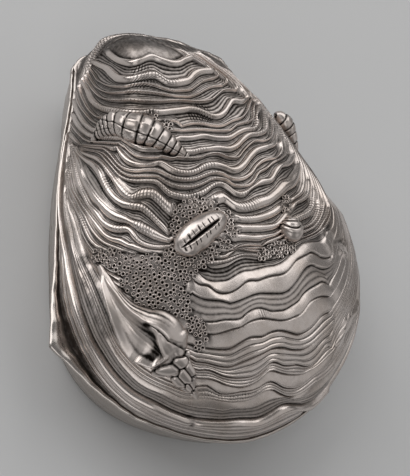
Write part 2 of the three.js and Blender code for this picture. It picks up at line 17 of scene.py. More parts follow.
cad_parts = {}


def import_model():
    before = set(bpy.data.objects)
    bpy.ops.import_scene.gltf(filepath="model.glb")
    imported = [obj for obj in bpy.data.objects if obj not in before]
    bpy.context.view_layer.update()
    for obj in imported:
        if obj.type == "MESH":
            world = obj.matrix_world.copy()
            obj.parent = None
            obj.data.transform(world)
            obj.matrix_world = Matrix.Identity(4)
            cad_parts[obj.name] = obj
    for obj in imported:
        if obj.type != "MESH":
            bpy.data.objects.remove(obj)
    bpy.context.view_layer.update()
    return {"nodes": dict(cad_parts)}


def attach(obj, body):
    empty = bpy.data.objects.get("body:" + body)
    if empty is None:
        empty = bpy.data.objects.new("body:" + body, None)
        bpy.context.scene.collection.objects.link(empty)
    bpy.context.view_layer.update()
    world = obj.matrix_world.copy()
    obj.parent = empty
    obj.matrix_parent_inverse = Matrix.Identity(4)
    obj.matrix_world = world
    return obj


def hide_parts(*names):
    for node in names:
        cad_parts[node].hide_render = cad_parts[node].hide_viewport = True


LOG = logging.getLogger("snuff_box")
METRES = 0.001
# Half step for slopes taken by differences, in millimetres or in places along the rim
NUDGE = 0.02
# Samples in each span of a line that is read off the view
LINE_SAMPLES = 8
# Keeps a division or a last step inside its range
TINY = 1e-6
# Width of one band of the wave texture at scale 1
WAVE_BAND = 0.314

# Two numbers, and tables with 2, 3, 4 or 5 numbers in a row
Pair = tuple[float, float]
Pairs = tuple[Pair, ...]
Triples = tuple[tuple[float, float, float], ...]
Stations = tuple[tuple[float, float, float, float], ...]
Fives = tuple[tuple[float, float, float, float, float], ...]
# What is added in millimetres, and the patina with any painted shade
Relief = tuple[np.ndarray, np.ndarray]


def srgb(hex_colour: str) -> tuple[float, float, float, float]:
    """Turn an sRGB hex colour into linear red, green, blue and alpha, by the curve of the sRGB standard.

    Args:
        hex_colour: six hex digits with a leading hash.

    Returns:
        Linear colour values, with alpha 1.
    """
    channels = [int(hex_colour[k : k + 2], 16) / 255 for k in (1, 3, 5)]
    linear = [c / 12.92 if c <= 0.04045 else ((c + 0.055) / 1.055) ** 2.4 for c in channels]
    return (linear[0], linear[1], linear[2], 1.0)


def smooth_step(value: np.ndarray, low: float, high: float) -> np.ndarray:
    """Rise from 0 at low to 1 at high along 3t^2 - 2t^3."""
    t = np.clip((value - low) / (high - low), 0, 1)
    return t * t * (3 - 2 * t)


def between(value: np.ndarray, rise: Pair, fall: Pair) -> np.ndarray:
    """Rise from 0 to 1 over one stretch of value and fall back to 0 over another."""
    return smooth_step(value, *rise) * (1 - smooth_step(value, *fall))


def bump(value: np.ndarray, centre: float, half: float) -> np.ndarray:
    """Rise from 0 to 1 and back along (1 - t^2)^2, where t is the distance from the centre over half."""
    return np.clip(1 - ((value - centre) / half) ** 2, 0, 1) ** 2


def bell(value: np.ndarray, half: float | np.ndarray, power: int = 2) -> np.ndarray:
    """Give exp(-(value / half)^power): 1 where value is 0, falling off beyond half."""
    return np.exp(-((value / half) ** power))


def unit(vectors: np.ndarray) -> np.ndarray:
    """Scale vectors to length 1 along the last axis."""
    return vectors / np.linalg.norm(vectors, axis=-1, keepdims=True)


def turns(sides: int) -> np.ndarray:
    """Give evenly spaced turns round a circle, in radians."""
    return 2 * np.pi * np.arange(sides) / sides


def lifted(plan: np.ndarray, height: np.ndarray) -> np.ndarray:
    """Join places in plan with their heights."""
    return np.concatenate([plan, height[..., None]], -1)


def ripple(points: np.ndarray, pitch: float, seed: int) -> np.ndarray:
    """Smooth uneven waves: a quarter of the sum of nine sines along seeded directions.

    Args:
        points: places in millimetres, last axis x, y, z.
        pitch: mean wavelength in millimetres.
        seed: which waves to draw.

    Returns:
        Values from about -1 to 1, one for each place.
    """
    count, shortest, longest = 9, 0.7, 1.4
    waves = np.random.default_rng(seed)
    directions = unit(waves.normal(size=(count, 3)))
    numbers = 2 * np.pi / (pitch * waves.uniform(shortest, longest, count))
    phases = waves.uniform(0, 2 * np.pi, count)
    angles = np.einsum("...i,ki->...k", points, directions) * numbers + phases
    return np.sin(angles).sum(-1) / 4.0


def through(points: np.ndarray, per_span: int, closed: bool = False) -> np.ndarray:
    """Catmull-Rom curve through points, sampled evenly within each span.

    Args:
        points: control points, one in each row.
        per_span: samples in each span.
        closed: whether the curve returns to its first point.

    Returns:
        Sampled points; an open curve also holds its last control point.
    """
    p = np.asarray(points, float)
    if closed:
        p = np.vstack([p[-1:], p, p[:2]])
    else:
        p = np.vstack([2 * p[:1] - p[1:2], p, 2 * p[-1:] - p[-2:-1]])
    a, b, c, d = p[:-3, None], p[1:-2, None], p[2:-1, None], p[3:, None]
    t = (np.arange(per_span) / per_span)[None, :, None]
    cubic = 2 * b + (c - a) * t + (2 * a - 5 * b + 4 * c - d) * t**2 + (3 * b - a - 3 * c + d) * t**3
    curve = (0.5 * cubic).reshape(-1, p.shape[1])
    return curve if closed else np.vstack([curve, p[-2:-1]])


def stand(thing: bpy.types.Object, axes: tuple[np.ndarray, ...], place: np.ndarray) -> None:
    """Link a camera or lamp with its right, up and back directions, at a place in metres."""
    matrix = np.eye(4)
    matrix[:3, :3] = np.stack(axes, -1)
    matrix[:3, 3] = place
    thing.matrix_world = Matrix(matrix.tolist())
    bpy.context.scene.collection.objects.link(thing)


@dataclass
class MeshData:
    """Vertices in millimetres with quads and triangles, and what rides on them."""

    vertices: np.ndarray
    quads: np.ndarray
    tris: np.ndarray
    fields: dict[str, np.ndarray] = field(default_factory=dict)
    uv: np.ndarray | None = None
    slots: np.ndarray | None = None

    def to_piece(self, name: str, *finishes: bpy.types.Material) -> bpy.types.Object:
        """Make the Blender object, at the origin, in metres.

        Args:
            name: the piece's name.
            finishes: its materials, in the order that slots counts them.

        Returns:
            The new object, linked into the scene.
        """
        mesh = bpy.data.meshes.new(name)
        corners = np.concatenate([self.quads.ravel(), self.tris.ravel()]).astype(np.int32)
        sizes = np.repeat([4, 3], [len(self.quads), len(self.tris)])
        starts = np.concatenate([[0], np.cumsum(sizes)[:-1]]).astype(np.int32)
        mesh.vertices.add(len(self.vertices))
        mesh.vertices.foreach_set("co", (self.vertices * METRES).astype(np.float32).ravel())
        mesh.loops.add(len(corners))
        mesh.loops.foreach_set("vertex_index", corners)
        mesh.polygons.add(len(sizes))
        mesh.polygons.foreach_set("loop_start", starts)
        for finish in finishes:
            mesh.materials.append(finish)
        if self.slots is not None:
            mesh.polygons.foreach_set("material_index", self.slots.astype(np.int32))
        mesh.update(calc_edges=True)
        mesh.polygons.foreach_set("use_smooth", np.ones(len(sizes), bool))
        for key, values in self.fields.items():
            layer = mesh.attributes.new(key, "FLOAT", "POINT")
            layer.data.foreach_set("value", values.astype(np.float32).ravel())
        if self.uv is not None:
            layer = mesh.uv_layers.new(name="UVMap")
            layer.data.foreach_set("uv", self.uv.astype(np.float32).ravel())
        mesh.update()
        piece = bpy.data.objects.new(name, mesh)
        bpy.context.scene.collection.objects.link(piece)
        return piece


def lattice(
    points: np.ndarray,
    fields: dict[str, np.ndarray],
    poles: bool = True,
    uv: np.ndarray | None = None,
    slots: np.ndarray | None = None,
) -> MeshData:
    """Close rings of points into one surface.

    Ring i, column j joins ring i + 1 and column j + 1, and the last column joins the first.
    With poles, a fan closes each end; without, the last ring joins the first ring.

    Args:
        points: rings by columns by 3.
        fields: values for each point, rings by columns.
        poles: whether fans close the ends.
        uv: map places, rings by columns + 1 by 2, for a surface with poles.
        slots: material number of each span between rings, for a surface with poles.

    Returns:
        The closed surface, facing outwards where rings by columns is a right-handed pair.
    """
    rings, columns = points.shape[:2]
    number = np.arange(rings * columns).reshape(rings, columns)
    if not poles:
        number = np.vstack([number, number[:1]])
    ahead = np.roll(number, -1, axis=1)
    quads = np.stack([number[:-1], number[1:], ahead[1:], ahead[:-1]], -1).reshape(-1, 4)
    vertices = points.reshape(-1, 3)
    if not poles:
        flat = {key: value.ravel() for key, value in fields.items()}
        return MeshData(vertices, quads, np.zeros((0, 3), int), flat)
    vertices = np.vstack([vertices, points[0].mean(0), points[-1].mean(0)])
    values = {
        key: np.concatenate([value.ravel(), [value[0].mean(), value[-1].mean()]])
        for key, value in fields.items()
    }
    start = np.stack([np.full(columns, rings * columns), number[0], ahead[0]], -1)
    end = np.stack([np.full(columns, rings * columns + 1), ahead[-1], number[-1]], -1)
    corners_uv = None
    if uv is not None:
        spans = np.stack([uv[:-1, :-1], uv[1:, :-1], uv[1:, 1:], uv[:-1, 1:]], 2)
        fan_start = np.stack([uv[0, :-1], uv[0, :-1], uv[0, 1:]], 1)
        fan_end = np.stack([uv[-1, :-1], uv[-1, 1:], uv[-1, :-1]], 1)
        corners_uv = np.vstack([part.reshape(-1, 2) for part in (spans, fan_start, fan_end)])
    if slots is not None:
        slots = np.repeat(np.concatenate([slots, slots[:1], slots[-1:]]), columns)
    return MeshData(vertices, quads, np.vstack([start, end]), values, corners_uv, slots)


def joined(parts: list[MeshData]) -> MeshData:
    """Put several closed surfaces with the same fields into one mesh."""
    offsets = np.cumsum([0] + [len(part.vertices) for part in parts])
    return MeshData(
        np.concatenate([part.vertices for part in parts]),
        np.concatenate([part.quads + offset for part, offset in zip(parts, offsets)]),
        np.concatenate([part.tris + offset for part, offset in zip(parts, offsets)]),
        {key: np.concatenate([part.fields[key] for part in parts]) for key in parts[0].fields},
    )


class Band(Enum):
    """What the silversmith left between two growth lines."""

    # The beak band is darkened with painted shade: the top of the dome is made dark as if it reflected a dark
    # surround
    BEAK = "smooth tarnished top"
    TERRACE = "smooth shingle that rises towards its rim side"
    LAYERED = "shingle with two fine engraved lines"
    ROLL = "thick rounded ridge"
    LINED = "sunk band with three engraved lines"
    FINE = "low band with many pale fine lines"


@dataclass(frozen=True)
class GrowthLine:
    """One line of the chased growth pattern, read off the view as pixels.

    half_width is that of a raised pale band along the line, in millimetres; 0 leaves an engraved line.
    below is the band on its rim side. Each stretch is a run of points, left to right.
    """

    half_width: float
    below: Band
    stretches: tuple[Pairs, ...]


@dataclass(frozen=True)
class View:
    """The camera: where it stands, how it is rolled, and how it sees millimetres as pixels."""

    elevation: float = 55.0
    roll: float = 45.0
    distance: float = 500.0
    target: tuple[float, float, float] = (1.0, 7.0, 16.0)
    target_pixel: Pair = (205.0, 240.0)
    pixel_size: float = 0.2
    frame: tuple[int, int] = (410, 476)
    sensor: float = 36.0
    clip_end: float = 10.0

    def axes(self) -> tuple[np.ndarray, np.ndarray, np.ndarray]:
        """Give the camera's right, up and back directions."""
        tilt, turn = math.radians(self.elevation), math.radians(self.roll)
        back = np.array([0.0, -math.cos(tilt), math.sin(tilt)])
        level = np.array([1.0, 0.0, 0.0])
        rise = np.cross(back, level)
        right = math.cos(turn) * level + math.sin(turn) * rise
        up = -math.sin(turn) * level + math.cos(turn) * rise
        return right, up, back

    def eye(self) -> np.ndarray:
        """Give the camera's place in millimetres."""
        return np.array(self.target) + self.axes()[2] * self.distance

    def rays(self, pixels: np.ndarray) -> np.ndarray:
        """Give the direction from the eye through each pixel."""
        right, up, back = self.axes()
        across = (pixels[:, :1] - self.target_pixel[0]) * self.pixel_size
        down = (pixels[:, 1:] - self.target_pixel[1]) * self.pixel_size
        return unit(right * across - up * down - back * self.distance)

    def add_camera(self) -> None:
        """Add the camera; the lens is sensor times distance over the seen height."""
        right, up, back = self.axes()
        offset = (np.array(self.frame) / 2 - np.array(self.target_pixel)) * self.pixel_size
        data = bpy.data.cameras.new("view")
        data.sensor_fit = "VERTICAL"
        data.sensor_height = self.sensor
        data.lens = self.sensor * self.distance / (self.frame[1] * self.pixel_size)
        data.clip_end = self.clip_end
        camera = bpy.data.objects.new("view", data)
        stand(camera, (right, up, back), (self.eye() + right * offset[0] - up * offset[1]) * METRES)
        bpy.context.scene.camera = camera


@dataclass(frozen=True)
class Rim:
    """Outline that the two valves share, in plan, counterclockwise from the right."""

    plan: Pairs = (
        (38.5, -4.0), (37.5, 11.5), (31.5, 24.0), (20.5, 32.5), (7.0, 36.0), (-8.0, 36.5), (-23.0, 34.0),
        (-34.0, 28.0), (-42.3, 19.0), (-37.4, 10.4), (-28.0, -4.0), (-17.6, -16.6), (-7.5, -26.5),
        (5.0, -31.4), (18.0, -29.6), (32.4, -19.0),
    )
    hinge_wall_y: float = 33.5
    height: float = 13.0
    samples: int = 60

    def curve(self) -> np.ndarray:
        """Sample the whole outline finely; the stretch past the hinge wall is cut straight."""
        points = through(np.array(self.plan), self.samples, closed=True)
        points[:, 1] = np.minimum(points[:, 1], self.hinge_wall_y)
        return points

    def places(self, columns: int) -> np.ndarray:
        """Give evenly counted places round the outline, where each point of the plan counts 1."""
        return np.arange(columns) * len(self.plan) / columns

    def point(self, at: np.ndarray) -> np.ndarray:
        """Give the outline's points where at counts the points of the plan."""
        curve = self.curve()
        place = np.arange(len(curve) + 1) / self.samples
        around = np.mod(at, len(self.plan))
        closed = np.vstack([curve, curve[:1]])
        return np.stack([np.interp(around, place, closed[:, k]) for k in range(2)], -1)

    def offset(self, at: np.ndarray, distance: np.ndarray | float) -> np.ndarray:
        """Move the outline outwards along its own normal."""
        along = unit(self.point(at + NUDGE) - self.point(at - NUDGE))
        normal = np.stack([along[..., 1], -along[..., 0]], -1)
        return self.point(at) + normal * np.asarray(distance)[..., None]

    def at(self, angle: np.ndarray, centre: np.ndarray) -> np.ndarray:
        """Find where on the outline a direction from a centre in plan meets it."""
        curve = self.curve() - centre
        turn = np.unwrap(np.arctan2(curve[:, 1], curve[:, 0]))
        place = np.arange(len(curve)) / self.samples
        wrapped = turn[0] + np.mod(angle - turn[0], 2 * np.pi)
        return np.interp(wrapped, np.append(turn, turn[0] + 2 * np.pi), np.append(place, len(self.plan)))


@dataclass(frozen=True)
class Dome:
    """The upper valve's swelling: (height / rise)^2 + (share of the way to the rim)^power = 1.

    The power is larger towards the beak. search and search_step, in millimetres, are for tracing rays.
    """

    rim: Rim
    rise: float = 22.5
    flank_power: float = 1.7
    beak_extra_power: float = 8.4
    beak_focus: float = 4.1
    beak_turn: float = math.radians(146.5)
    search: float = 60.0
    search_step: float = 0.25

    def share(self, plan: np.ndarray) -> np.ndarray:
        """Give (distance / rim distance)^power for places in plan."""
        angle = np.arctan2(plan[..., 1], plan[..., 0])
        reach = np.linalg.norm(self.rim.point(self.rim.at(angle, np.zeros(2))), axis=-1)
        focus = (0.5 + 0.5 * np.cos(angle - self.beak_turn)) ** self.beak_focus
        power = self.flank_power + self.beak_extra_power * focus
        return (np.linalg.norm(plan, axis=-1) / reach) ** power

    def point(self, plan: np.ndarray) -> np.ndarray:
        """Lift places in plan onto the dome."""
        return lifted(plan, self.rim.height + self.rise * np.sqrt(np.clip(1 - self.share(plan), 0, 1)))

    def normal(self, points: np.ndarray) -> np.ndarray:
        """Give outward normals, from the slope of (height / rise)^2 + share."""
        slopes = [
            (self.share(points[..., :2] + shift) - self.share(points[..., :2] - shift)) / (2 * NUDGE)
            for shift in np.eye(2) * NUDGE
        ]
        slopes.append(2 * (points[..., 2] - self.rim.height) / self.rise**2)
        return unit(np.stack(slopes, -1))

    def seen(self, view: View, pixels: np.ndarray) -> np.ndarray:
        """Put pixels of the view onto the dome, at the first place where each ray meets it.

        Args:
            view: the camera.
            pixels: places in the view, one in each row.

        Returns:
            Points on the dome in millimetres; a ray that misses lands where it passes nearest.
        """
        reach = np.arange(view.distance - self.search, view.distance + self.search, self.search_step)
        path = view.eye() + view.rays(pixels)[:, None, :] * reach[None, :, None]
        height = (path[..., 2] - self.rim.height) / self.rise
        inside = 1 - self.share(path[..., :2]) - np.sign(height) * height**2
        first = np.argmax(inside > 0, axis=1)
        missed = ~(inside > 0).any(axis=1)
        first = np.where(missed, np.argmax(inside, axis=1), first)
        rows = np.arange(len(pixels))
        before = np.maximum(first - 1, 0)
        a, b = inside[rows, before], inside[rows, first]
        mix = np.where(missed | (b == a), 1.0, -a / np.where(b == a, 1, b - a))
        hit = path[rows, before] + (path[rows, first] - path[rows, before]) * np.clip(mix, 0, 1)[:, None]
        return self.point(hit[:, :2])


# Growth lines from the beak outwards, as pixels of the view: pale raised bands first, then engraved lines
GROWTH_LINES: tuple[GrowthLine, ...] = (
    GrowthLine(0.55, Band.LINED, (
        ((101, 52), (105, 49), (108, 52), (112, 56), (118, 60), (125, 62), (132, 63), (140, 61),
         (150, 57), (160, 60), (170, 63), (178, 63), (184, 60), (190, 58)),
    )),
    GrowthLine(0.65, Band.LINED, (
        ((92, 61), (100, 65), (108, 69), (113, 74), (118, 78), (125, 79), (132, 79), (140, 77), (148, 75),
         (155, 75), (160, 78), (166, 82), (172, 83), (180, 82), (188, 80), (193, 75), (198, 72), (205, 71),
         (213, 71)),
    )),
    GrowthLine(0.15, Band.LINED, (
        ((90, 68), (95, 75), (98, 80), (104, 84), (110, 86), (118, 87), (126, 87), (135, 85), (145, 84),
         (155, 86), (163, 89), (172, 91), (182, 91), (190, 90), (196, 86), (202, 82), (208, 80),
         (214, 79)),
    )),
    GrowthLine(0.15, Band.LINED, (
        ((88, 72), (92, 80), (97, 87), (103, 91), (110, 93), (120, 93), (135, 92), (150, 93), (165, 95),
         (180, 97), (190, 97), (198, 94), (205, 90), (212, 87), (223, 86)),
    )),
    GrowthLine(0.2, Band.LINED, (
        ((86, 76), (90, 84), (95, 91), (101, 97), (108, 100), (118, 101), (130, 101), (145, 102),
         (160, 102), (172, 101), (182, 101), (192, 102), (203, 102), (211, 100), (217, 95), (223, 91),
         (232, 91)),
    )),
    GrowthLine(0.5, Band.LINED, (
        ((83, 79), (86, 85), (89, 92), (92, 99), (96, 104), (102, 108), (110, 110), (125, 112),
         (140, 113), (150, 112), (160, 112), (170, 111), (180, 110), (188, 109), (196, 110), (204, 113),
         (211, 116), (218, 116), (224, 112), (228, 106), (232, 101), (240, 102), (247, 99)),
    )),
    GrowthLine(0.2, Band.LINED, (
        ((80, 85), (82, 92), (85, 100), (89, 108), (94, 114), (99, 118)),
        ((180, 127), (190, 124), (200, 124), (212, 126), (222, 126), (232, 121), (241, 118), (246, 112),
         (249, 103), (252, 99)),
    )),
    GrowthLine(0.2, Band.LINED, (
        ((77, 90), (79, 99), (82, 107), (87, 114), (92, 120), (96, 123)),
        ((180, 131), (200, 130), (215, 131), (228, 131), (237, 125), (249, 122), (252, 117), (252, 108),
         (255, 103)),
    )),
    GrowthLine(0.4, Band.LINED, (
        ((75, 95), (76, 104), (79, 113), (83, 120), (88, 126), (93, 130)),
        ((178, 138), (190, 138), (203, 136), (215, 138), (228, 138), (237, 133), (244, 130), (253, 129),
         (256, 124), (255, 116), (259, 107)),
    )),
    GrowthLine(0.45, Band.LINED, (
        ((72, 105), (74, 114), (77, 122), (82, 129), (88, 134), (92, 136)),
        ((183, 152), (192, 152), (200, 150), (208, 149), (217, 148), (228, 149), (236, 146), (243, 139),
         (249, 135), (257, 134), (264, 131), (265, 124), (264, 115), (265, 109)),
    )),
    GrowthLine(0.2, Band.LINED, (
        ((71, 118), (74, 126), (79, 133), (85, 139), (90, 142)),
        ((125, 147), (131, 153), (138, 157), (148, 158), (158, 158)),
        ((175, 158), (190, 159), (200, 158), (208, 155), (217, 154), (228, 158), (237, 158), (243, 151),
         (250, 144), (256, 141), (264, 141), (270, 137), (271, 128), (270, 118)),
    )),
    GrowthLine(0.55, Band.LINED, (
        ((70, 128), (73, 136), (78, 142), (82, 146)),
        ((118, 147), (121, 153), (126, 159), (132, 163), (140, 165), (150, 165), (158, 163), (164, 165),
         (170, 169), (178, 172), (188, 173), (196, 171), (203, 167), (210, 165), (217, 165), (224, 167),
         (231, 170), (238, 169), (244, 164), (250, 156), (257, 150), (266, 147), (273, 144), (275, 137),
         (276, 131)),
    )),
    GrowthLine(0.3, Band.LINED, (
        ((70, 138), (74, 143), (80, 146), (88, 147), (96, 148), (104, 149), (110, 153), (115, 159),
         (120, 165), (126, 169), (135, 171), (148, 170), (158, 171), (166, 175), (175, 179), (185, 180),
         (195, 179), (203, 176), (212, 173), (221, 174), (231, 179), (241, 179), (250, 174), (256, 166),
         (264, 160), (275, 158), (280, 151), (279, 143)),
    )),
    GrowthLine(0.25, Band.LINED, (
        ((118, 168), (124, 173), (132, 176), (145, 176), (157, 177), (165, 182), (173, 186), (183, 188),
         (193, 187), (202, 184), (210, 180), (218, 179), (226, 181), (234, 186), (246, 186), (253, 181),
         (258, 173), (265, 169), (272, 163), (280, 159), (285, 154)),
    )),
    GrowthLine(0.5, Band.LINED, (
        ((83, 150), (95, 152), (102, 155), (108, 161), (114, 168), (120, 175), (126, 179), (135, 181),
         (148, 181), (156, 182), (162, 187), (169, 193), (178, 196), (188, 197), (197, 195), (205, 191),
         (212, 186), (219, 184), (226, 187), (234, 193), (243, 194), (253, 187), (261, 182), (270, 180),
         (275, 172), (280, 166), (288, 163), (292, 156)),
    )),
    GrowthLine(1.0, Band.LINED, (
        ((79, 145), (83, 152), (88, 155), (96, 158), (103, 163), (109, 171), (114, 178), (120, 187),
         (126, 194), (132, 197), (140, 194), (150, 193), (157, 197), (163, 203), (170, 209), (178, 212)),
        ((213, 201), (222, 197), (230, 203), (239, 207), (250, 206), (260, 202), (269, 199), (277, 193),
         (284, 186), (291, 182), (296, 173), (297, 165)),
    )),
    GrowthLine(0.6, Band.LINED, (
        ((77, 148), (81, 155), (88, 161), (95, 166), (101, 174), (105, 183), (110, 192), (116, 199),
         (124, 204), (133, 206), (141, 207), (149, 213), (156, 220), (163, 227), (170, 234)),
        ((222, 213), (230, 216), (240, 219), (252, 219), (262, 217), (272, 213), (279, 208), (286, 203),
         (293, 198), (299, 193), (302, 185), (302, 177)),
    )),
    GrowthLine(0.8, Band.LINED, (
        ((75, 150), (79, 160), (82, 170), (85, 180), (90, 189), (96, 198), (103, 206), (110, 213),
         (118, 217), (127, 220), (137, 225), (148, 231), (160, 237), (170, 241)),
        ((232, 228), (245, 228), (260, 228), (270, 227), (277, 224), (286, 214), (294, 204), (301, 200),
         (306, 195), (307, 187), (307, 180)),
    )),
    GrowthLine(0.6, Band.LINED, (
        ((73, 150), (76, 163), (78, 176), (81, 187), (86, 197), (91, 206), (98, 214), (104, 222),
         (111, 227), (119, 229), (128, 229), (133, 234), (139, 241), (147, 245), (158, 247), (170, 247)),
        ((232, 238), (240, 237), (255, 238), (268, 236), (277, 233), (290, 222), (300, 217), (306, 214),
         (311, 208), (312, 200), (312, 190)),
    )),
    GrowthLine(0.5, Band.LINED, (
        ((70, 153), (72, 166), (74, 180), (77, 192), (83, 203), (89, 212), (94, 220), (100, 228),
         (106, 235), (113, 239), (121, 241), (130, 246)),
        ((234, 249), (240, 246), (250, 245), (262, 246)),
        ((300, 228), (308, 225), (314, 218), (317, 208), (316, 200)),
    )),
    GrowthLine(0.3, Band.LINED, (
        ((69, 160), (71, 175), (73, 188), (77, 198), (82, 208), (87, 216), (91, 225), (96, 233),
         (102, 240), (109, 245)),
    )),
    GrowthLine(0.35, Band.LINED, (
        ((67, 165), (69, 180), (71, 192), (75, 203), (80, 213), (84, 222), (88, 232), (93, 241),
         (100, 248)),
        ((212, 256), (222, 257), (230, 253), (238, 249), (246, 250), (256, 251)),
        ((304, 237), (314, 232), (320, 224), (325, 215), (327, 207)),
    )),
    GrowthLine(0.7, Band.FINE, (
        ((66, 178), (68, 190), (71, 201), (75, 211), (79, 222), (81, 232), (85, 241), (91, 250),
         (97, 257)),
    )),
    GrowthLine(0.0, Band.LINED, (
        ((205, 265), (212, 268), (220, 268), (228, 266), (236, 261), (245, 258), (255, 259), (260, 260)),
    )),
    GrowthLine(0.0, Band.TERRACE, (
        ((74, 208), (79, 225), (84, 240), (92, 254), (100, 264), (110, 272)),
        ((196, 269), (200, 274), (206, 279), (213, 281), (220, 281), (228, 280), (236, 275), (244, 271),
         (252, 270), (260, 268), (268, 266), (275, 265), (282, 262), (288, 257), (291, 253), (297, 249),
         (303, 243), (311, 241), (319, 241), (324, 237), (327, 229)),
    )),
    GrowthLine(0.0, Band.TERRACE, (
        ((190, 275), (194, 280), (200, 284), (208, 285), (211, 287), (216, 291), (222, 293), (230, 292),
         (238, 288), (245, 282), (250, 280), (258, 280), (266, 277), (274, 275), (281, 274), (287, 271),
         (292, 265), (296, 260), (301, 257), (307, 254), (311, 252), (316, 254), (320, 257), (326, 258),
         (331, 256)),
    )),
    GrowthLine(0.0, Band.FINE, (
        ((190, 291), (197, 296), (205, 299), (215, 300), (223, 301), (230, 303), (237, 301), (245, 298),
         (252, 295), (260, 293), (270, 293), (280, 293), (287, 291), (293, 285), (298, 278), (301, 273),
         (305, 268), (311, 265), (316, 267), (321, 269), (328, 268), (333, 263)),
    )),
    GrowthLine(0.0, Band.TERRACE, (
        ((191, 317), (197, 320), (205, 322), (215, 322), (225, 320), (240, 319), (246, 314), (252, 310),
         (259, 308), (265, 309), (271, 311), (278, 311), (285, 310), (292, 306), (299, 301), (304, 294),
         (310, 289), (317, 285), (322, 282), (326, 283), (331, 288)),
    )),
    GrowthLine(0.0, Band.TERRACE, (
        ((207, 334), (215, 334), (223, 332), (232, 329), (240, 327), (248, 322), (256, 319), (263, 318),
         (272, 319), (280, 320), (288, 319), (295, 316), (300, 314), (305, 308), (309, 302), (315, 298),
         (322, 296), (331, 297)),
    )),
    GrowthLine(0.0, Band.LAYERED, (
        ((208, 348), (222, 349), (230, 348), (240, 342), (250, 337), (262, 336), (270, 332), (280, 330),
         (290, 332), (297, 334), (304, 332), (310, 328), (316, 322), (322, 315), (331, 311)),
    )),
    GrowthLine(0.0, Band.LAYERED, (
        ((195, 361), (205, 362), (213, 364), (222, 366), (230, 366), (240, 362), (250, 358), (262, 353),
         (272, 348), (283, 347), (291, 349), (300, 349), (306, 347), (312, 343), (317, 338)),
    )),
    GrowthLine(0.0, Band.LAYERED, (
        ((197, 370), (205, 369), (213, 371), (222, 375), (232, 377), (240, 377), (250, 376), (258, 372),
         (265, 366), (270, 362), (276, 362), (283, 365), (290, 365), (296, 364), (305, 366), (311, 364),
         (317, 358), (321, 352), (325, 347), (331, 345)),
    )),
    GrowthLine(0.0, Band.TERRACE, (
        ((72, 210), (77, 228), (82, 243), (89, 257), (96, 270), (103, 283), (109, 298), (113, 313),
         (116, 330)),
        ((200, 378), (208, 378), (216, 380), (225, 384), (234, 386), (243, 386), (252, 383), (260, 378),
         (266, 372), (272, 370), (279, 372), (288, 374), (297, 374), (303, 373), (309, 369)),
    )),
    GrowthLine(0.0, Band.LAYERED, (
        ((69, 205), (71, 216), (74, 230), (77, 243), (82, 256), (88, 269), (94, 282), (100, 296),
         (106, 310), (112, 325)),
        ((200, 385), (207, 385), (213, 389), (220, 393), (230, 393), (240, 391), (250, 390), (258, 387),
         (264, 383), (270, 381), (276, 383), (283, 387), (290, 388), (297, 387), (303, 383), (310, 377),
         (318, 371), (327, 365)),
    )),
    GrowthLine(0.0, Band.TERRACE, (
        ((67, 205), (69, 218), (72, 232), (75, 246), (79, 261), (85, 276), (91, 290), (97, 306),
         (103, 322), (110, 337), (117, 350), (126, 362), (136, 373), (146, 380), (158, 386), (170, 391),
         (183, 397), (195, 398), (210, 398), (222, 400), (232, 401), (245, 400), (253, 397), (259, 393),
         (265, 390), (272, 389), (278, 392), (285, 395), (293, 395), (300, 392), (307, 387), (314, 381)),
    )),
    GrowthLine(0.0, Band.FINE, (
        ((65, 200), (66, 215), (69, 231), (73, 248), (78, 265), (83, 281), (89, 298), (95, 315),
         (101, 330), (109, 345), (118, 359), (127, 371), (137, 381), (148, 388), (160, 393), (172, 399),
         (185, 404), (198, 407), (210, 408), (222, 410), (232, 408), (245, 408), (255, 406), (262, 403),
         (268, 400), (276, 398), (284, 397), (292, 399)),
    )),
    GrowthLine(0.0, Band.ROLL, (
        ((65, 218), (67, 235), (70, 252), (73, 270), (77, 290), (82, 308), (88, 325), (95, 340),
         (103, 354), (112, 367), (122, 379), (132, 388), (143, 395), (155, 401), (168, 408), (180, 413),
         (192, 417), (212, 419), (225, 419), (240, 418), (255, 418), (264, 415), (272, 410), (280, 405),
         (288, 403), (300, 404)),
    )),
    GrowthLine(0.0, Band.LAYERED, (
        ((64, 230), (65, 248), (67, 268), (70, 290), (74, 310), (80, 328), (88, 346), (97, 362),
         (107, 377), (118, 390), (130, 400), (145, 409), (160, 416), (175, 421), (190, 425), (210, 428),
         (230, 429), (250, 428), (266, 424), (280, 416), (292, 411), (305, 409), (318, 401)),
    )),
)


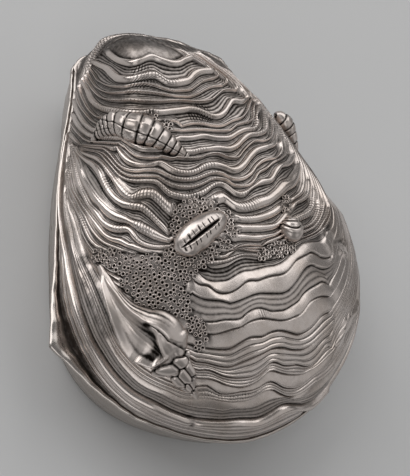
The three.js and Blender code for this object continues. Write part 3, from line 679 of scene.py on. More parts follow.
@dataclass(frozen=True)
class GrowthField:
    """The chased lattice of the upper valve: where each growth line crosses each column from beak to rim.

    A place is given by its column and by its distance along the dome from the beak.
    """

    dome: Dome
    view: View
    lines: tuple[GrowthLine, ...] = GROWTH_LINES
    beak: Pair = (-36.0, 20.0)
    columns: int = 270
    steps: int = 400
    rim_steps: int = 1600
    back_at: float = 5.8
    back_spread: float = 1.6
    back_saving: float = 0.45
    rounds: int = 900
    pull_along: float = 0.9
    least_gap: float = 0.0006

    def column_at(self) -> np.ndarray:
        """Give each column's place on the rim, with fewer columns at the back."""
        fine = np.linspace(0, len(self.dome.rim.plan), self.rim_steps + 1)
        density = 1 - self.back_saving * bell(fine - self.back_at, self.back_spread)
        share = np.concatenate([[0], np.cumsum((density[1:] + density[:-1]) / 2)])
        return np.interp(np.arange(self.columns) * share[-1] / self.columns, share, fine)

    def plan(self, reach: np.ndarray) -> np.ndarray:
        """Give plan places: beak + reach times (rim - beak), with a column for each reach column."""
        beak = np.array(self.beak)
        spokes = self.dome.rim.point(self.column_at()) - beak
        return beak + reach[..., None] * spokes

    def table(self) -> np.ndarray:
        """Measure along the dome from the beak at even steps of stage, where reach is sin(stage * pi / 2)."""
        reach = np.sin(np.linspace(0, 1, self.steps + 1) * np.pi / 2)
        points = self.dome.point(self.plan(np.repeat(reach[:, None], self.columns, 1)))
        lengths = np.linalg.norm(np.diff(points, axis=0), axis=-1)
        return np.vstack([np.zeros(self.columns), np.cumsum(lengths, axis=0)])

    def read(self, pixels: Pairs, table: np.ndarray) -> np.ndarray:
        """Turn one stretch of a line into its distance from the beak at each column that it crosses.

        Args:
            pixels: the stretch's points in the view.
            table: what table() gives.

        Returns:
            A share of the whole length for each column, with NaN where the stretch doesn't reach.
        """
        beak = np.array(self.beak)
        away = self.dome.seen(self.view, through(np.array(pixels, float), LINE_SAMPLES))[:, :2] - beak
        at = self.dome.rim.at(np.arctan2(away[:, 1], away[:, 0]), beak)
        whole = np.linalg.norm(self.dome.rim.point(at) - beak, axis=-1)
        stage = np.arcsin(np.clip(np.linalg.norm(away, axis=-1) / whole, 0, 1)) * 2 / np.pi
        rim_at = np.append(self.column_at(), len(self.dome.rim.plan))
        column = np.interp(at, rim_at, np.arange(self.columns + 1))
        step = np.clip(stage * self.steps, 0, self.steps - TINY)
        low, left = step.astype(int), column.astype(int) % self.columns
        right = (left + 1) % self.columns
        across, up = column - column.astype(int), step - low
        shares = table / table[-1]
        start = shares[low, left] * (1 - across) + shares[low, right] * across
        end = shares[low + 1, left] * (1 - across) + shares[low + 1, right] * across
        share = start * (1 - up) + end * up
        unrolled = np.unwrap(column, period=self.columns)
        order = np.argsort(unrolled)
        number = np.arange(-self.columns, 2 * self.columns)
        inside = (number >= unrolled.min()) & (number <= unrolled.max())
        found = np.interp(number, unrolled[order], share[order])
        result = np.full(self.columns, np.nan)
        result[number[inside] % self.columns] = found[inside]
        return result

    def settle(self, table: np.ndarray) -> np.ndarray:
        """Lay every line across every column.

        A line keeps its place where it was read. Elsewhere each place is a weighted mean of its four
        neighbours, so that unread stretches run smoothly and stay evenly spaced.

        Args:
            table: what table() gives.

        Returns:
            Lines by columns, as shares of each column's length, with the beak first and the rim last.
        """
        read = np.full((len(self.lines) + 2, self.columns), np.nan)
        read[0], read[-1] = 0.0, 1.0
        for number, line in enumerate(self.lines, start=1):
            for stretch in line.stretches:
                values = self.read(stretch, table)
                read[number] = np.where(np.isnan(values), read[number], values)
        known = ~np.isnan(read)
        row = np.arange(len(read))[:, None]
        before = np.maximum.accumulate(np.where(known, row, 0), axis=0)
        after = np.minimum.accumulate(np.where(known, row, len(read) - 1)[::-1], axis=0)[::-1]
        low = np.take_along_axis(read, before, 0)
        high = np.take_along_axis(read, after, 0)
        mix = (row - before) / np.maximum(after - before, 1)
        share = np.where(known, read, low + (high - low) * mix)
        for _ in range(self.rounds):
            beside = (np.roll(share, 1, axis=1) + np.roll(share, -1, axis=1)) / 2
            among = share.copy()
            among[1:-1] = (share[:-2] + share[2:]) / 2
            share = np.where(known, read, self.pull_along * beside + (1 - self.pull_along) * among)
        spacing = self.least_gap * row
        return np.clip(np.maximum.accumulate(share - spacing, axis=0) + spacing, 0, 1)


# Cross section of each band: share of the way across, relief in millimetres before it is deepened, patina
# with painted shade
RAISED: Triples = ((0.0, -0.30, 1.0), (0.0, 0.42, 0.1), (0.5, 0.62, 0.0), (1.0, 0.48, 0.0))
PROFILES: dict[Band, Triples] = {
    # The beak band's patina is painted shade on the top of the dome
    Band.BEAK: ((0.0, 0.0, 0.6), (0.3, 0.1, 0.55), (0.6, 0.1, 0.55), (0.9, 0.0, 0.6)),
    # A terrace's patina rises from 0.22 to 0.4 towards its start: painted shade under the edge of the band
    # before it
    Band.TERRACE: (
        (0.0, -0.22, 1.0), (0.0, 0.0, 0.4), (0.15, 0.08, 0.28), (0.5, 0.20, 0.22), (0.85, 0.32, 0.22),
        (1.0, 0.34, 0.3),
    ),
    Band.LAYERED: (
        (0.0, -0.30, 1.0), (0.0, 0.0, 0.5), (0.28, 0.20, 0.05), (0.36, 0.02, 0.9), (0.44, 0.22, 0.05),
        (0.66, 0.38, 0.0), (0.73, 0.20, 0.85), (0.80, 0.42, 0.0), (1.0, 0.50, 0.1),
    ),
    Band.ROLL: (
        (0.0, -0.35, 1.0), (0.0, -0.20, 0.8), (0.06, 0.30, 0.3), (0.16, 0.75, 0.0), (0.34, 0.95, 0.0),
        (0.52, 0.95, 0.0), (0.72, 0.65, 0.1), (0.88, 0.10, 0.8), (1.0, -0.30, 1.0),
    ),
    Band.LINED: (
        (0.0, -0.34, 1.0), (0.17, -0.14, 0.6), (0.33, -0.28, 1.0), (0.5, -0.08, 0.5), (0.67, -0.20, 0.9),
        (0.84, 0.02, 0.4),
    ),
    Band.FINE: (
        (0.0, -0.16, 1.0), (0.17, 0.14, 0.2), (0.33, 0.04, 0.75), (0.5, 0.20, 0.1), (0.67, 0.10, 0.75),
        (0.84, 0.26, 0.1),
    ),
}


@dataclass(frozen=True)
class Welt:
    """A ridge or hollow worked along a line of pixels, with its half width and height in millimetres.

    A height below 0 is a hollow. patina is added to the silver's tarnish and may be below 0.
    """

    line: Pairs
    half_width: float
    height: float
    patina_and_shade: float


WELTS: tuple[Welt, ...] = (
    Welt(((357, 302), (354, 312), (345, 321), (341, 333), (337, 344)), 0.6, 0.5, -0.5),
    Welt(((357, 317), (352, 327), (346, 337)), 0.9, -0.4, 0.4),
    Welt(((334, 243), (340, 241), (345, 245)), 0.5, -0.25, 0.5),
    Welt(((340, 252), (345, 254)), 0.7, 0.35, -0.1),
    Welt(((322, 231), (325, 240), (327, 248)), 0.9, 0.3, -0.4),
    Welt(((190, 416), (192, 421), (191, 426)), 0.4, -0.45, 0.7),
    Welt(((118, 180), (124, 190), (131, 199)), 0.9, 0.25, -0.6),
    Welt(((84, 168), (92, 182), (102, 198), (114, 212)), 0.5, 0.2, -0.5),
)


@dataclass(frozen=True)
class PunchedZone:
    """Ground struck all over with a ring punch, as overlapping discs: pixel across, pixel down, radius in mm.

    crust is how high the rings stand over the dome, and floor_drop how far below them the ground lies.
    """

    discs: Triples = (
        (100, 256, 1.4), (112, 258, 1.8), (124, 263, 2.2), (138, 268, 2.9), (152, 270, 3.4), (165, 282, 4.0),
        (175, 262, 2.9), (182, 246, 2.0), (186, 216, 2.9), (176, 230, 1.6), (197, 205, 1.8), (211, 206, 1.5),
        (227, 218, 1.5), (231, 231, 1.5), (225, 243, 1.4), (212, 252, 1.6), (200, 261, 1.8), (189, 272, 1.6),
        (148, 292, 3.2), (133, 283, 2.4), (172, 302, 3.6), (185, 312, 1.5), (160, 309, 1.5), (196, 326, 1.8),
        (203, 338, 1.2), (198, 346, 1.0), (268, 252, 1.3), (279, 249, 1.7), (289, 247, 1.3), (262, 256, 1.0),
        (285, 208, 1.1), (286, 200, 0.8), (165, 126, 1.2), (152, 116, 0.9),
    )
    edge: float = 0.5
    crust: float = 0.26
    crust_waves: float = 0.10
    wave_pitch: float = 3.0
    wave_seed: int = 5
    floor_drop: float = 0.20
    pitch: float = 0.76
    tries: int = 7000

    def mask(self, dome: Dome, view: View, points: np.ndarray) -> np.ndarray:
        """Give 1 inside the discs and 0 outside, with a soft edge."""
        discs = np.array(self.discs)
        centres = dome.seen(view, discs[:, :2])
        away = np.linalg.norm(points[..., None, :] - centres, axis=-1)
        clear = 1 - smooth_step(-away, -(discs[:, 2] + self.edge), -(discs[:, 2] - self.edge))
        return 1 - clear.prod(-1)

    def height(self, points: np.ndarray) -> np.ndarray:
        """Give how high the uneven crust stands over the dome."""
        return self.crust + self.crust_waves * ripple(points, self.wave_pitch, self.wave_seed)


@dataclass(frozen=True)
class UpperValve:
    """The lid: one raised sheet, chased outside along its growth lines and gilt inside.

    An engraved line is groove wide to each side, but no more than groove_share of its band. A band
    narrower than full_width is worked less deep. A disc is a pixel and a radius in millimetres. flank
    gives, for places on the rim, the reach past which the terraces have ended.
    """

    growth: GrowthField
    zone: PunchedZone
    sheet: float = 1.0
    groove: float = 0.16
    groove_share: float = 0.25
    full_width: float = 0.55
    depth: float = 1.35
    raised_gain: float = 1.35
    raised_room: float = 0.43
    least_step: float = 0.005
    rim_patina: float = 0.6
    welts: tuple[Welt, ...] = WELTS
    welt_spread: float = 1.6
    scored: Triples = ((84, 262, 2.0), (90, 280, 2.6), (97, 298, 2.8), (103, 316, 2.5), (108, 330, 2.0))
    hatched: Triples = (
        (143, 76, 3.0), (200, 115, 3.0), (106, 184, 2.0), (79, 172, 1.6), (81, 192, 1.6), (193, 196, 1.6),
        (208, 394, 1.0), (220, 396, 1.0), (232, 397, 1.0), (244, 396, 1.0), (120, 226, 1.6), (262, 314, 1.2),
    )
    # Discs of painted shade on the beak and along the far flank, as if they reflected a dark surround; their
    # relief is lowered too
    shaded_top: Triples = (
        (112, 41, 3.5), (125, 38, 4.5), (140, 37, 4.5), (155, 39, 4.5), (170, 43, 4.0), (184, 47, 3.5),
        (77, 84, 2.2), (80, 73, 2.5), (84, 62, 2.8), (91, 51, 2.8), (100, 43, 2.8), (197, 50, 3.0),
        (208, 56, 3.0), (219, 63, 3.0), (229, 71, 3.0), (238, 79, 3.0), (247, 89, 2.5),
    )
    disc_edge: Pair = (0.6, 1.1)
    flank: Pairs = (
        (-0.3, 1.1), (0.37, 1.1), (0.55, 0.93), (0.70, 0.866), (0.90, 0.83), (1.3, 0.79), (2.1, 0.75),
        (3.2, 0.75), (4.2, 1.1),
    )
    flank_edge: Pair = (-0.004, 0.02)
    flank_relief: float = 0.5
    uneven: float = 0.05
    uneven_pitch: float = 6.0
    uneven_seed: int = 11
    # Painted shade in those discs, and the share of their relief that is kept
    top_shade: float = 0.75
    shaded_top_relief: float = 0.2
    scored_patina: float = 0.4
    scored_hatch: float = 0.15
    struck_patina: float = 0.7
    struck_edge: float = 1.6
    beak_fade: float = 1.5
    wall_fade: float = 3.0
    rim_fade: float = 0.5
    inner_rings: int = 12
    rim_crowding: float = 1.6
    hatch_pitch: float = 15.0
    hatch_seed: int = 3
    hatch_edge: Pair = (0.1, 0.5)
    hatched_level: float = 0.6

    def rows(self, table: np.ndarray) -> np.ndarray:
        """Lay the rows of the outer surface.

        Between two lines, each band takes its profile's rows; a raised line is a band of its own.
        Narrow bands are lower in proportion to their width.

        Args:
            table: lengths along each column, from the growth field.

        Returns:
            Distance from the beak, relief, patina with painted shade, hatching and band number, each rows by
            columns.
        """
        whole = table[-1]
        lines = self.growth.settle(table) * whole
        specs = self.growth.lines
        room = np.minimum(np.diff(lines, axis=0)[:-1], np.diff(lines, axis=0)[1:])
        half = np.array([line.half_width for line in specs])[:, None]
        half = np.minimum(self.raised_gain * half, self.raised_room * room)
        inner = np.vstack([0 * whole, lines[1:-1] - half, whole])
        outer = np.vstack([0 * whole, lines[1:-1] + half, whole])
        bands = [(outer[0], inner[1], PROFILES[Band.BEAK], False)]
        for number, line in enumerate(specs, start=1):
            if line.half_width:
                bands.append((inner[number], outer[number], RAISED, True))
            bands.append((outer[number], inner[number + 1], PROFILES[line.below], False))
        one = np.ones_like(whole)
        laid = []
        for number, (start, end, profile, raised) in enumerate(bands):
            width = end - start
            edge = np.minimum(self.groove, self.groove_share * width)
            height = np.clip(width / self.full_width, 0, 1)
            for share, lift, dark in profile:
                is_line = share == 0.0 and dark == 1.0
                place = start if is_line else start + edge + (width - 2 * edge) * share
                hatch = float(raised and not is_line)
                laid.append((place, self.depth * lift * height, dark * one, hatch * one, number * one))
        laid.append((whole, 0 * one, self.rim_patina * one, 0 * one, len(bands) * one))
        fields = np.array(laid).transpose(1, 0, 2)
        fields[0] = np.maximum(fields[0], self.least_step * (1 + np.arange(len(laid)))[:, None])
        return fields

    def reach(self, distance: np.ndarray, table: np.ndarray) -> np.ndarray:
        """Invert the table: turn distances from the beak into reach, sin(stage * pi / 2)."""
        steps = len(table) - 1
        below = np.clip((table[:, None, :] <= distance[None]).sum(0) - 1, 0, steps - 1)
        low = np.take_along_axis(table, below, 0)
        high = np.take_along_axis(table, below + 1, 0)
        stage = (below + np.clip((distance - low) / (high - low), 0, 1)) / steps
        return np.sin(stage * np.pi / 2)

    def inside(self) -> np.ndarray:
        """Lay the hollow: the dome drawn in by the sheet's thickness, from the rim up to the crown."""
        dome = self.growth.dome
        at = self.growth.column_at()
        ring = np.arange(1, self.inner_rings + 1)[::-1] / self.inner_rings
        reach = np.sin((1 - (1 - ring) ** self.rim_crowding) * np.pi / 2)[:, None, None]
        share = dome.share(dome.rim.point(at) * reach)
        # The first ring lies in the plane of the rim
        share[0] = 1.0
        height = (dome.rise - self.sheet) * np.sqrt(np.clip(1 - share, 0, 1))
        return lifted(dome.rim.offset(at, -self.sheet) * reach, dome.rim.height + height)

    def on_flank(self, reach: np.ndarray) -> np.ndarray:
        """Give 1 on the smooth flank, past the ends of the terraces, and 0 elsewhere."""
        at = self.growth.column_at()
        count = len(self.growth.dome.rim.plan)
        limit = np.interp(np.where(at > count / 2, at - count, at), *np.array(self.flank).T)
        return smooth_step(reach - limit, *self.flank_edge)

    def near(self, discs: Triples, points: np.ndarray) -> np.ndarray:
        """Give 1 in the middle of the discs, fading to 0 at their edges."""
        table = np.array(discs)
        centres = self.growth.dome.seen(self.growth.view, table[:, :2])
        away = np.linalg.norm(points[..., None, :] - centres, axis=-1) / table[:, 2]
        return 1 - smooth_step(away.min(-1), *self.disc_edge)

    def worked(self, points: np.ndarray) -> Relief:
        """Add up the welts: relief in millimetres and patina."""
        relief = patina_and_shade = np.zeros(points.shape[:2])
        for welt in self.welts:
            line = self.growth.dome.seen(self.growth.view, through(np.array(welt.line, float), LINE_SAMPLES))
            away = np.linalg.norm(points[..., None, :] - line, axis=-1).min(-1)
            rise = bump(away, 0.0, self.welt_spread * welt.half_width)
            relief = relief + welt.height * rise
            patina_and_shade = patina_and_shade + welt.patina_and_shade * rise
        return relief, patina_and_shade

    def unrolled(self, points: np.ndarray, distance: np.ndarray, band: np.ndarray) -> np.ndarray:
        """Give map places in millimetres: along the first row of each band, and away from the beak."""
        along = np.linalg.norm(np.roll(points, -1, axis=1) - points, axis=-1)
        starts = np.searchsorted(band[:, 0], band[:, 0])
        u = np.concatenate([np.zeros((len(along), 1)), np.cumsum(along, axis=1)], 1)[starts]
        v = np.concatenate([distance, distance[:, :1]], 1)
        return np.stack([u, v], -1)

    def build(self, outside: bpy.types.Material, gilt: bpy.types.Material) -> bpy.types.Object:
        """Build the lid's shell.

        Args:
            outside: finish of the chased face.
            gilt: finish of the hollow.

        Returns:
            The piece, as one closed surface.
        """
        dome = self.growth.dome
        table = self.growth.table()
        distance, relief, patina_and_shade, hatch, band = self.rows(table)
        reach = self.reach(distance, table)
        bare = dome.point(self.growth.plan(reach))
        bare[-1, :, 2] = dome.rim.height
        struck = self.zone.mask(dome, self.growth.view, bare)
        scored = self.near(self.scored, bare)
        beak = self.near(self.shaded_top, bare)
        calm = 1 - (1 - self.flank_relief) * self.on_flank(reach)
        lift, tone = self.worked(bare)
        relief = relief * calm + lift + self.uneven * ripple(bare, self.uneven_pitch, self.uneven_seed)
        relief = relief * (1 - (1 - self.shaded_top_relief) * beak)
        relief = relief * (1 - struck) + (self.zone.height(bare) - self.zone.floor_drop) * struck
        # Painted shade on the beak and the far flank, laid over the patina
        patina_and_shade = patina_and_shade * (1 - beak) + self.top_shade * beak
        patina_and_shade = np.clip(patina_and_shade * calm + self.scored_patina * scored + tone, 0, 1)
        patina_and_shade = patina_and_shade * (1 - struck) + (self.struck_patina + self.struck_edge * (1 - struck)) * struck
        patina_and_shade = np.clip(patina_and_shade, 0, 1)
        fade = np.clip((dome.rim.hinge_wall_y - bare[..., 1]) / self.wall_fade, 0, 1)
        fade = fade * np.clip(distance / self.beak_fade, 0, 1)
        fade = fade * np.clip((table[-1] - distance) / self.rim_fade, 0, 1)
        points = bare + dome.normal(bare) * (relief * fade)[..., None]
        hatch = hatch * smooth_step(ripple(bare, self.hatch_pitch, self.hatch_seed), *self.hatch_edge)
        drawn = np.maximum(self.hatched_level * self.near(self.hatched, bare), self.scored_hatch * scored)
        hatch = np.maximum(hatch, drawn) * (1 - struck) * (1 - beak) * calm
        inner = self.inside()
        smooth = np.zeros(inner.shape[:2])
        unmapped = np.zeros((len(inner), inner.shape[1] + 1, 2))
        uv = np.concatenate([self.unrolled(points, distance, band), unmapped])
        fields = {"patina_and_shade": np.concatenate([patina_and_shade, smooth]), "hatch": np.concatenate([hatch, smooth])}
        slots = np.repeat([0, 1], [len(points), len(inner) - 1])
        mesh = lattice(np.concatenate([points, inner]), fields, uv=uv, slots=slots)
        return mesh.to_piece("lid_shell", outside, gilt)


@dataclass(frozen=True)
class RingMarks:
    """Marks of the ring punch: a thin pale ring round a dark pit, each a closed button of few faces.

    Each row of section is a share of the radius, a height in millimetres and a patina. Some pits keep a pale
    pellet in the middle.
    """

    zone: PunchedZone
    radius: float = 0.47
    spread: float = 0.18
    section: Triples = (
        (0.10, -0.14, 1.0), (0.30, -0.16, 1.0), (0.54, -0.18, 0.9), (0.66, 0.02, 0.05), (0.84, 0.12, 0.0),
        (1.0, 0.0, 0.1), (0.95, -0.26, 0.9),
    )
    pellet_share: float = 0.15
    pellet_patina: float = 0.1
    sides: int = 10
    seed: int = 8

    def places(self, dome: Dome, view: View) -> np.ndarray:
        """Scatter places over the punched zone, none nearer than the pitch to another."""
        chance = np.random.default_rng(self.seed)
        discs = np.array(self.zone.discs)
        pick = chance.choice(len(discs), self.zone.tries, p=discs[:, 2] ** 2 / (discs[:, 2] ** 2).sum())
        turn = chance.uniform(0, 2 * np.pi, self.zone.tries)
        reach = np.sqrt(chance.uniform(0, 1, self.zone.tries)) * discs[pick, 2] / view.pixel_size
        pixels = discs[pick, :2] + np.stack([np.cos(turn), np.sin(turn)], -1) * reach[:, None]
        kept = np.zeros((0, 3))
        for point in dome.seen(view, pixels):
            if len(kept) == 0 or np.linalg.norm(kept - point, axis=1).min() > self.zone.pitch:
                kept = np.vstack([kept, point])
        return kept

    def build(self, dome: Dome, view: View, finish: bpy.types.Material) -> bpy.types.Object:
        """Build all the marks as one piece.

        Args:
            dome: what the marks lie on.
            view: the camera that the zone is read in.
            finish: their silver.

        Returns:
            The piece.
        """
        centres = self.places(dome, view)
        normals = dome.normal(centres)
        side = unit(np.cross(normals, [0.0, 0.0, 1.0]) + TINY)
        ahead = np.cross(normals, side)
        chance = np.random.default_rng(self.seed + 1)
        size = self.radius * (1 + self.spread * chance.uniform(-1, 1, len(centres)))
        radii, heights, tones = np.array(self.section).T
        dark = tones + 0 * centres[:, :1]
        dark[chance.uniform(0, 1, len(centres)) < self.pellet_share, 0] = self.pellet_patina
        out = (size[:, None] * radii)[..., None]
        up = self.zone.height(centres)[:, None] + heights
        points = (
            centres[:, None, None]
            + (out * np.cos(turns(self.sides)))[..., None] * side[:, None, None]
            + (out * np.sin(turns(self.sides)))[..., None] * ahead[:, None, None]
            + up[..., None, None] * normals[:, None, None]
        )
        patina_and_shade = np.repeat(dark[..., None], self.sides, -1)
        marks = [lattice(mark, {"patina_and_shade": tone}) for mark, tone in zip(points, patina_and_shade)]
        return joined(marks).to_piece("ring_marks", finish)


@dataclass(frozen=True)
class LowerValve:
    """The base: a bowl with a flat foot and a flared lip, plain outside and gilt inside.

    Each row of lip is a share of the lip's width, then its depth below the rim as shares of the drop, of
    the edge and of the gutter, then in millimetres, and its patina and painted shade, darkest under the
    lip's outer edge and in the gutter at the lid. The at fields are places on the rim.
    """

    rim: Rim
    sheet: float = 1.0
    foot_scale: float = 0.7
    foot_shift: Pair = (-1.0, -5.0)
    lip_width: float = 1.0
    corner_width: float = 4.6
    corner_at: float = 12.35
    back_width: float = 1.2
    back_at: float = 18.2
    corner_spread: float = 0.55
    gap_spread: float = 1.4
    # Share of the lip's painted shade that is kept away from the corner
    shade_away_from_corner: float = 0.35
    lip_start: float = 7.7
    lip_end: float = 18.6
    lip_taper: float = 0.6
    lip_least: float = 0.25
    lip_drop: float = 2.2
    lip_edge: float = 0.9
    # The last column is painted shade under the lip's outer edge and in its gutter at the lid
    lip: tuple[tuple[float, float, float, float, float, float], ...] = (
        (0.30, 0.85, 0.0, 0.0, 0.0, 0.6),
        (0.62, 0.62, 0.0, 0.0, 0.0, 0.35),
        (0.88, 0.0, 1.0, 0.0, 0.15, 0.5),
        (1.0, 0.0, 0.75, 0.0, 0.15, 0.2),
        (1.0, 0.0, 0.45, 0.0, 0.15, 0.0),
        (0.92, 0.0, 0.22, 0.0, 0.15, 0.0),
        (0.78, 0.0, 0.08, 0.0, 0.15, 0.0),
        (0.60, 0.0, 0.0, 0.0, 0.20, 0.0),
        (0.42, 0.0, 0.0, 0.5, 0.15, 0.25),
        (0.22, 0.0, 0.0, 1.3, 0.15, 0.7),
        (0.06, 0.0, 0.0, 1.5, 0.15, 1.0),
        (0.0, 0.0, 0.0, 0.0, 0.05, 0.9),
    )
    tuck: float = 0.05
    gutter: float = 0.5
    gutter_share: float = 0.4
    edge_waves: Triples = ((0.12, 9.0, 0.0), (0.08, 23.0, 1.0))
    still_depth: float = 0.06
    shingles: int = 7
    shingle_height: float = 0.16
    shingle_wave: Pair = (0.12, 2.1)
    foot_fade: Pair = (0.15, 0.4)
    uneven: float = 0.06
    uneven_pitch: float = 9.0
    uneven_seed: int = 21
    columns: int = 360
    wall_rings: int = 36

    def width(self, at: np.ndarray) -> np.ndarray:
        """Give the lip's width: widest at its corner, wider again at the back right, slight at the hinge."""
        count = len(self.rim.plan)
        along = np.where(at < self.lip_end - count, at + count, at)
        corner = self.corner_width * np.exp(-np.abs(along - self.corner_at) / self.corner_spread)
        back = self.back_width * np.exp(-np.abs(along - self.back_at) / self.corner_spread)
        ends = np.minimum(along - self.lip_start, self.lip_end - along) / self.lip_taper
        taper = self.lip_least + (1 - self.lip_least) * np.minimum(ends, 1)
        return (self.lip_width + corner + back) * np.clip(taper, 0.0, 1)

    def wall(self, plan: np.ndarray, turn: np.ndarray, floor: float) -> np.ndarray:
        """Follow a quarter ellipse from the foot, where turn is 0, up to the rim, where turn is 1."""
        bend = turn[:, None] * np.pi / 2
        lean = self.foot_scale + (1 - self.foot_scale) * np.sin(bend)
        shift = np.array(self.foot_shift) * ((1 - lean) / (1 - self.foot_scale))[..., None]
        height = floor + (self.rim.height - floor) * (1 - np.cos(bend)) + 0 * plan[None, :, 0]
        return lifted(plan * lean[..., None] + shift, height)

    def flare(self, at: np.ndarray) -> Relief:
        """Lay the lip's rows from the bowl outwards and back to the rim, with their patina and painted shade.
        """
        width = self.width(at)
        edge = self.lip_edge * np.clip(width, 0, 1)
        gutter = np.minimum(self.gutter, self.gutter_share * width)
        wavy = sum(height * np.sin(at * number + phase) for height, number, phase in self.edge_waves)
        rows, tones = [], []
        for share, drop, edges, gutters, depth, patina_and_shade in self.lip:
            out = share * width if share else np.full(len(at), -self.tuck)
            up = -drop * self.lip_drop - edges * edge - gutters * gutter - depth
            level = self.rim.height + up + wavy * (up < -self.still_depth)
            rows.append(lifted(self.rim.offset(at, out), level))
            # Painted shade: full at the corner's gap to the lid, weaker elsewhere along the rim
            tones.append(patina_and_shade * (self.shade_away_from_corner + (1 - self.shade_away_from_corner) * self.in_gap(at)))
        return np.array(rows), np.array(tones)

    def in_gap(self, at: np.ndarray) -> np.ndarray:
        """Give 1 at the lip's corner, where the painted shade in the gap to the lid is darkest, falling off
        along the rim.
        """
        return bell(at - self.corner_at, self.gap_spread)

    def shingled(self, outer: np.ndarray, at: np.ndarray) -> np.ndarray:
        """Push the bowl's outside out in low shingles that follow the rim, none at the foot."""
        turn = np.linspace(0, 1, len(outer))[:, None]
        height, number = self.shingle_wave
        saw = np.mod(turn * self.shingles + height * np.sin(at * number), 1)
        push = self.shingle_height * (saw - 0.5) * smooth_step(turn + 0 * saw, *self.foot_fade)
        push = push + self.uneven * ripple(outer, self.uneven_pitch, self.uneven_seed) * turn
        away = outer[..., :2] - np.array(self.foot_shift)
        return outer + push[..., None] * unit(lifted(away, 0 * push))

    def build(self, outside: bpy.types.Material, gilt: bpy.types.Material) -> bpy.types.Object:
        """Build the bowl with its lip as one closed surface.

        Args:
            outside: finish of the silver.
            gilt: finish of the hollow.

        Returns:
            The piece.
        """
        at = self.rim.places(self.columns)
        root = math.acos(self.lip_drop / self.rim.height) * 2 / np.pi
        outer = self.wall(self.rim.point(at), np.linspace(0, root, self.wall_rings), 0.0)
        lip, shade = self.flare(at)
        inner = self.wall(self.rim.offset(at, -self.sheet), np.linspace(1, 0, self.wall_rings), self.sheet)
        points = np.concatenate([self.shingled(outer, at), lip, inner])
        patina_and_shade = np.concatenate([np.zeros(outer.shape[:2]), shade, np.zeros(inner.shape[:2])])
        slots = np.repeat([0, 1], [len(outer) + len(lip), len(inner) - 1])
        # The rings run from the inside out, so that the faces look outwards
        mesh = lattice(points[::-1], {"patina_and_shade": patina_and_shade[::-1]}, slots=slots[::-1])
        return mesh.to_piece("lower_shell", outside, gilt)


@dataclass(frozen=True)
class MouthBezel:
    """The gilt band that stands inside the mouth, for the lid to close over."""

    rim: Rim
    inset: float = 1.3
    wall: float = 0.6
    drop: float = 1.5
    rise: float = 1.3
    round: float = 0.15
    columns: int = 300

    def build(self, finish: bpy.types.Material) -> bpy.types.Object:
        """Carry the band's rounded section round the mouth."""
        at = self.rim.places(self.columns)
        low, high = self.rim.height - self.drop, self.rim.height + self.rise
        out, into = -self.inset, -self.inset - self.wall
        # Six corners of the section, from the last to the first, so that the faces look outwards
        section = (
            (into, low),
            (into, high - self.round),
            (into + self.round, high),
            (out - self.round, high),
            (out, high - self.round),
            (out, low),
        )
        rings = [lifted(self.rim.offset(at, step), np.full(len(at), height)) for step, height in section]
        clean = np.zeros((len(section), self.columns))
        return lattice(np.array(rings), {"patina_and_shade": clean}, poles=False).to_piece("bezel_band", finish)


@dataclass(frozen=True)
class Hinge:
    """Seven tubes with small rounded ends, in turn on the base and the lid. axis is across and up."""

    left: float = -22.0
    length: float = 38.0
    knuckles: int = 7
    gap: float = 0.12
    radius: float = 1.3
    pin_radius: float = 0.65
    clearance: float = 0.05
    axis: Pair = (35.1, 13.0)
    round: float = 0.08
    sides: int = 48
    end_patina: float = 0.6

    def tube(self, name: str, start: float, end: float, finish: bpy.types.Material) -> bpy.types.Object:
        """Turn one tube's section about the axis.

        Args:
            name: the piece's name.
            start: its left end.
            end: its right end.
            finish: the silver it is made of.

        Returns:
            The piece.
        """
        r, e, bore = self.radius, self.round, self.pin_radius + self.clearance
        section = ((start, r - e), (start + e, r), (end - e, r), (end, r - e), (end, bore), (start, bore))
        x, reach = np.array(section).T[..., None]
        turn = turns(self.sides)[::-1]
        across, up = self.axis
        rings = np.stack([x + 0 * turn, across + reach * np.cos(turn), up + reach * np.sin(turn)], -1)
        dark = np.zeros((len(section), self.sides))
        dark[[0, 3]] = self.end_patina
        return lattice(rings, {"patina_and_shade": dark}, poles=False).to_piece(name, finish)

    def build(self, finish: bpy.types.Material) -> None:
        """Turn every tube and dress it."""
        length = (self.length - (self.knuckles - 1) * self.gap) / self.knuckles
        for number in range(self.knuckles):
            body = "base" if number % 2 == 0 else "lid"
            node = f"{body}_knuckle_{number // 2 + 1}"
            start = self.left + number * (length + self.gap)
            dress(self.tube(f"{node}_tube", start, start + length, finish), body, "plain_silver", node)


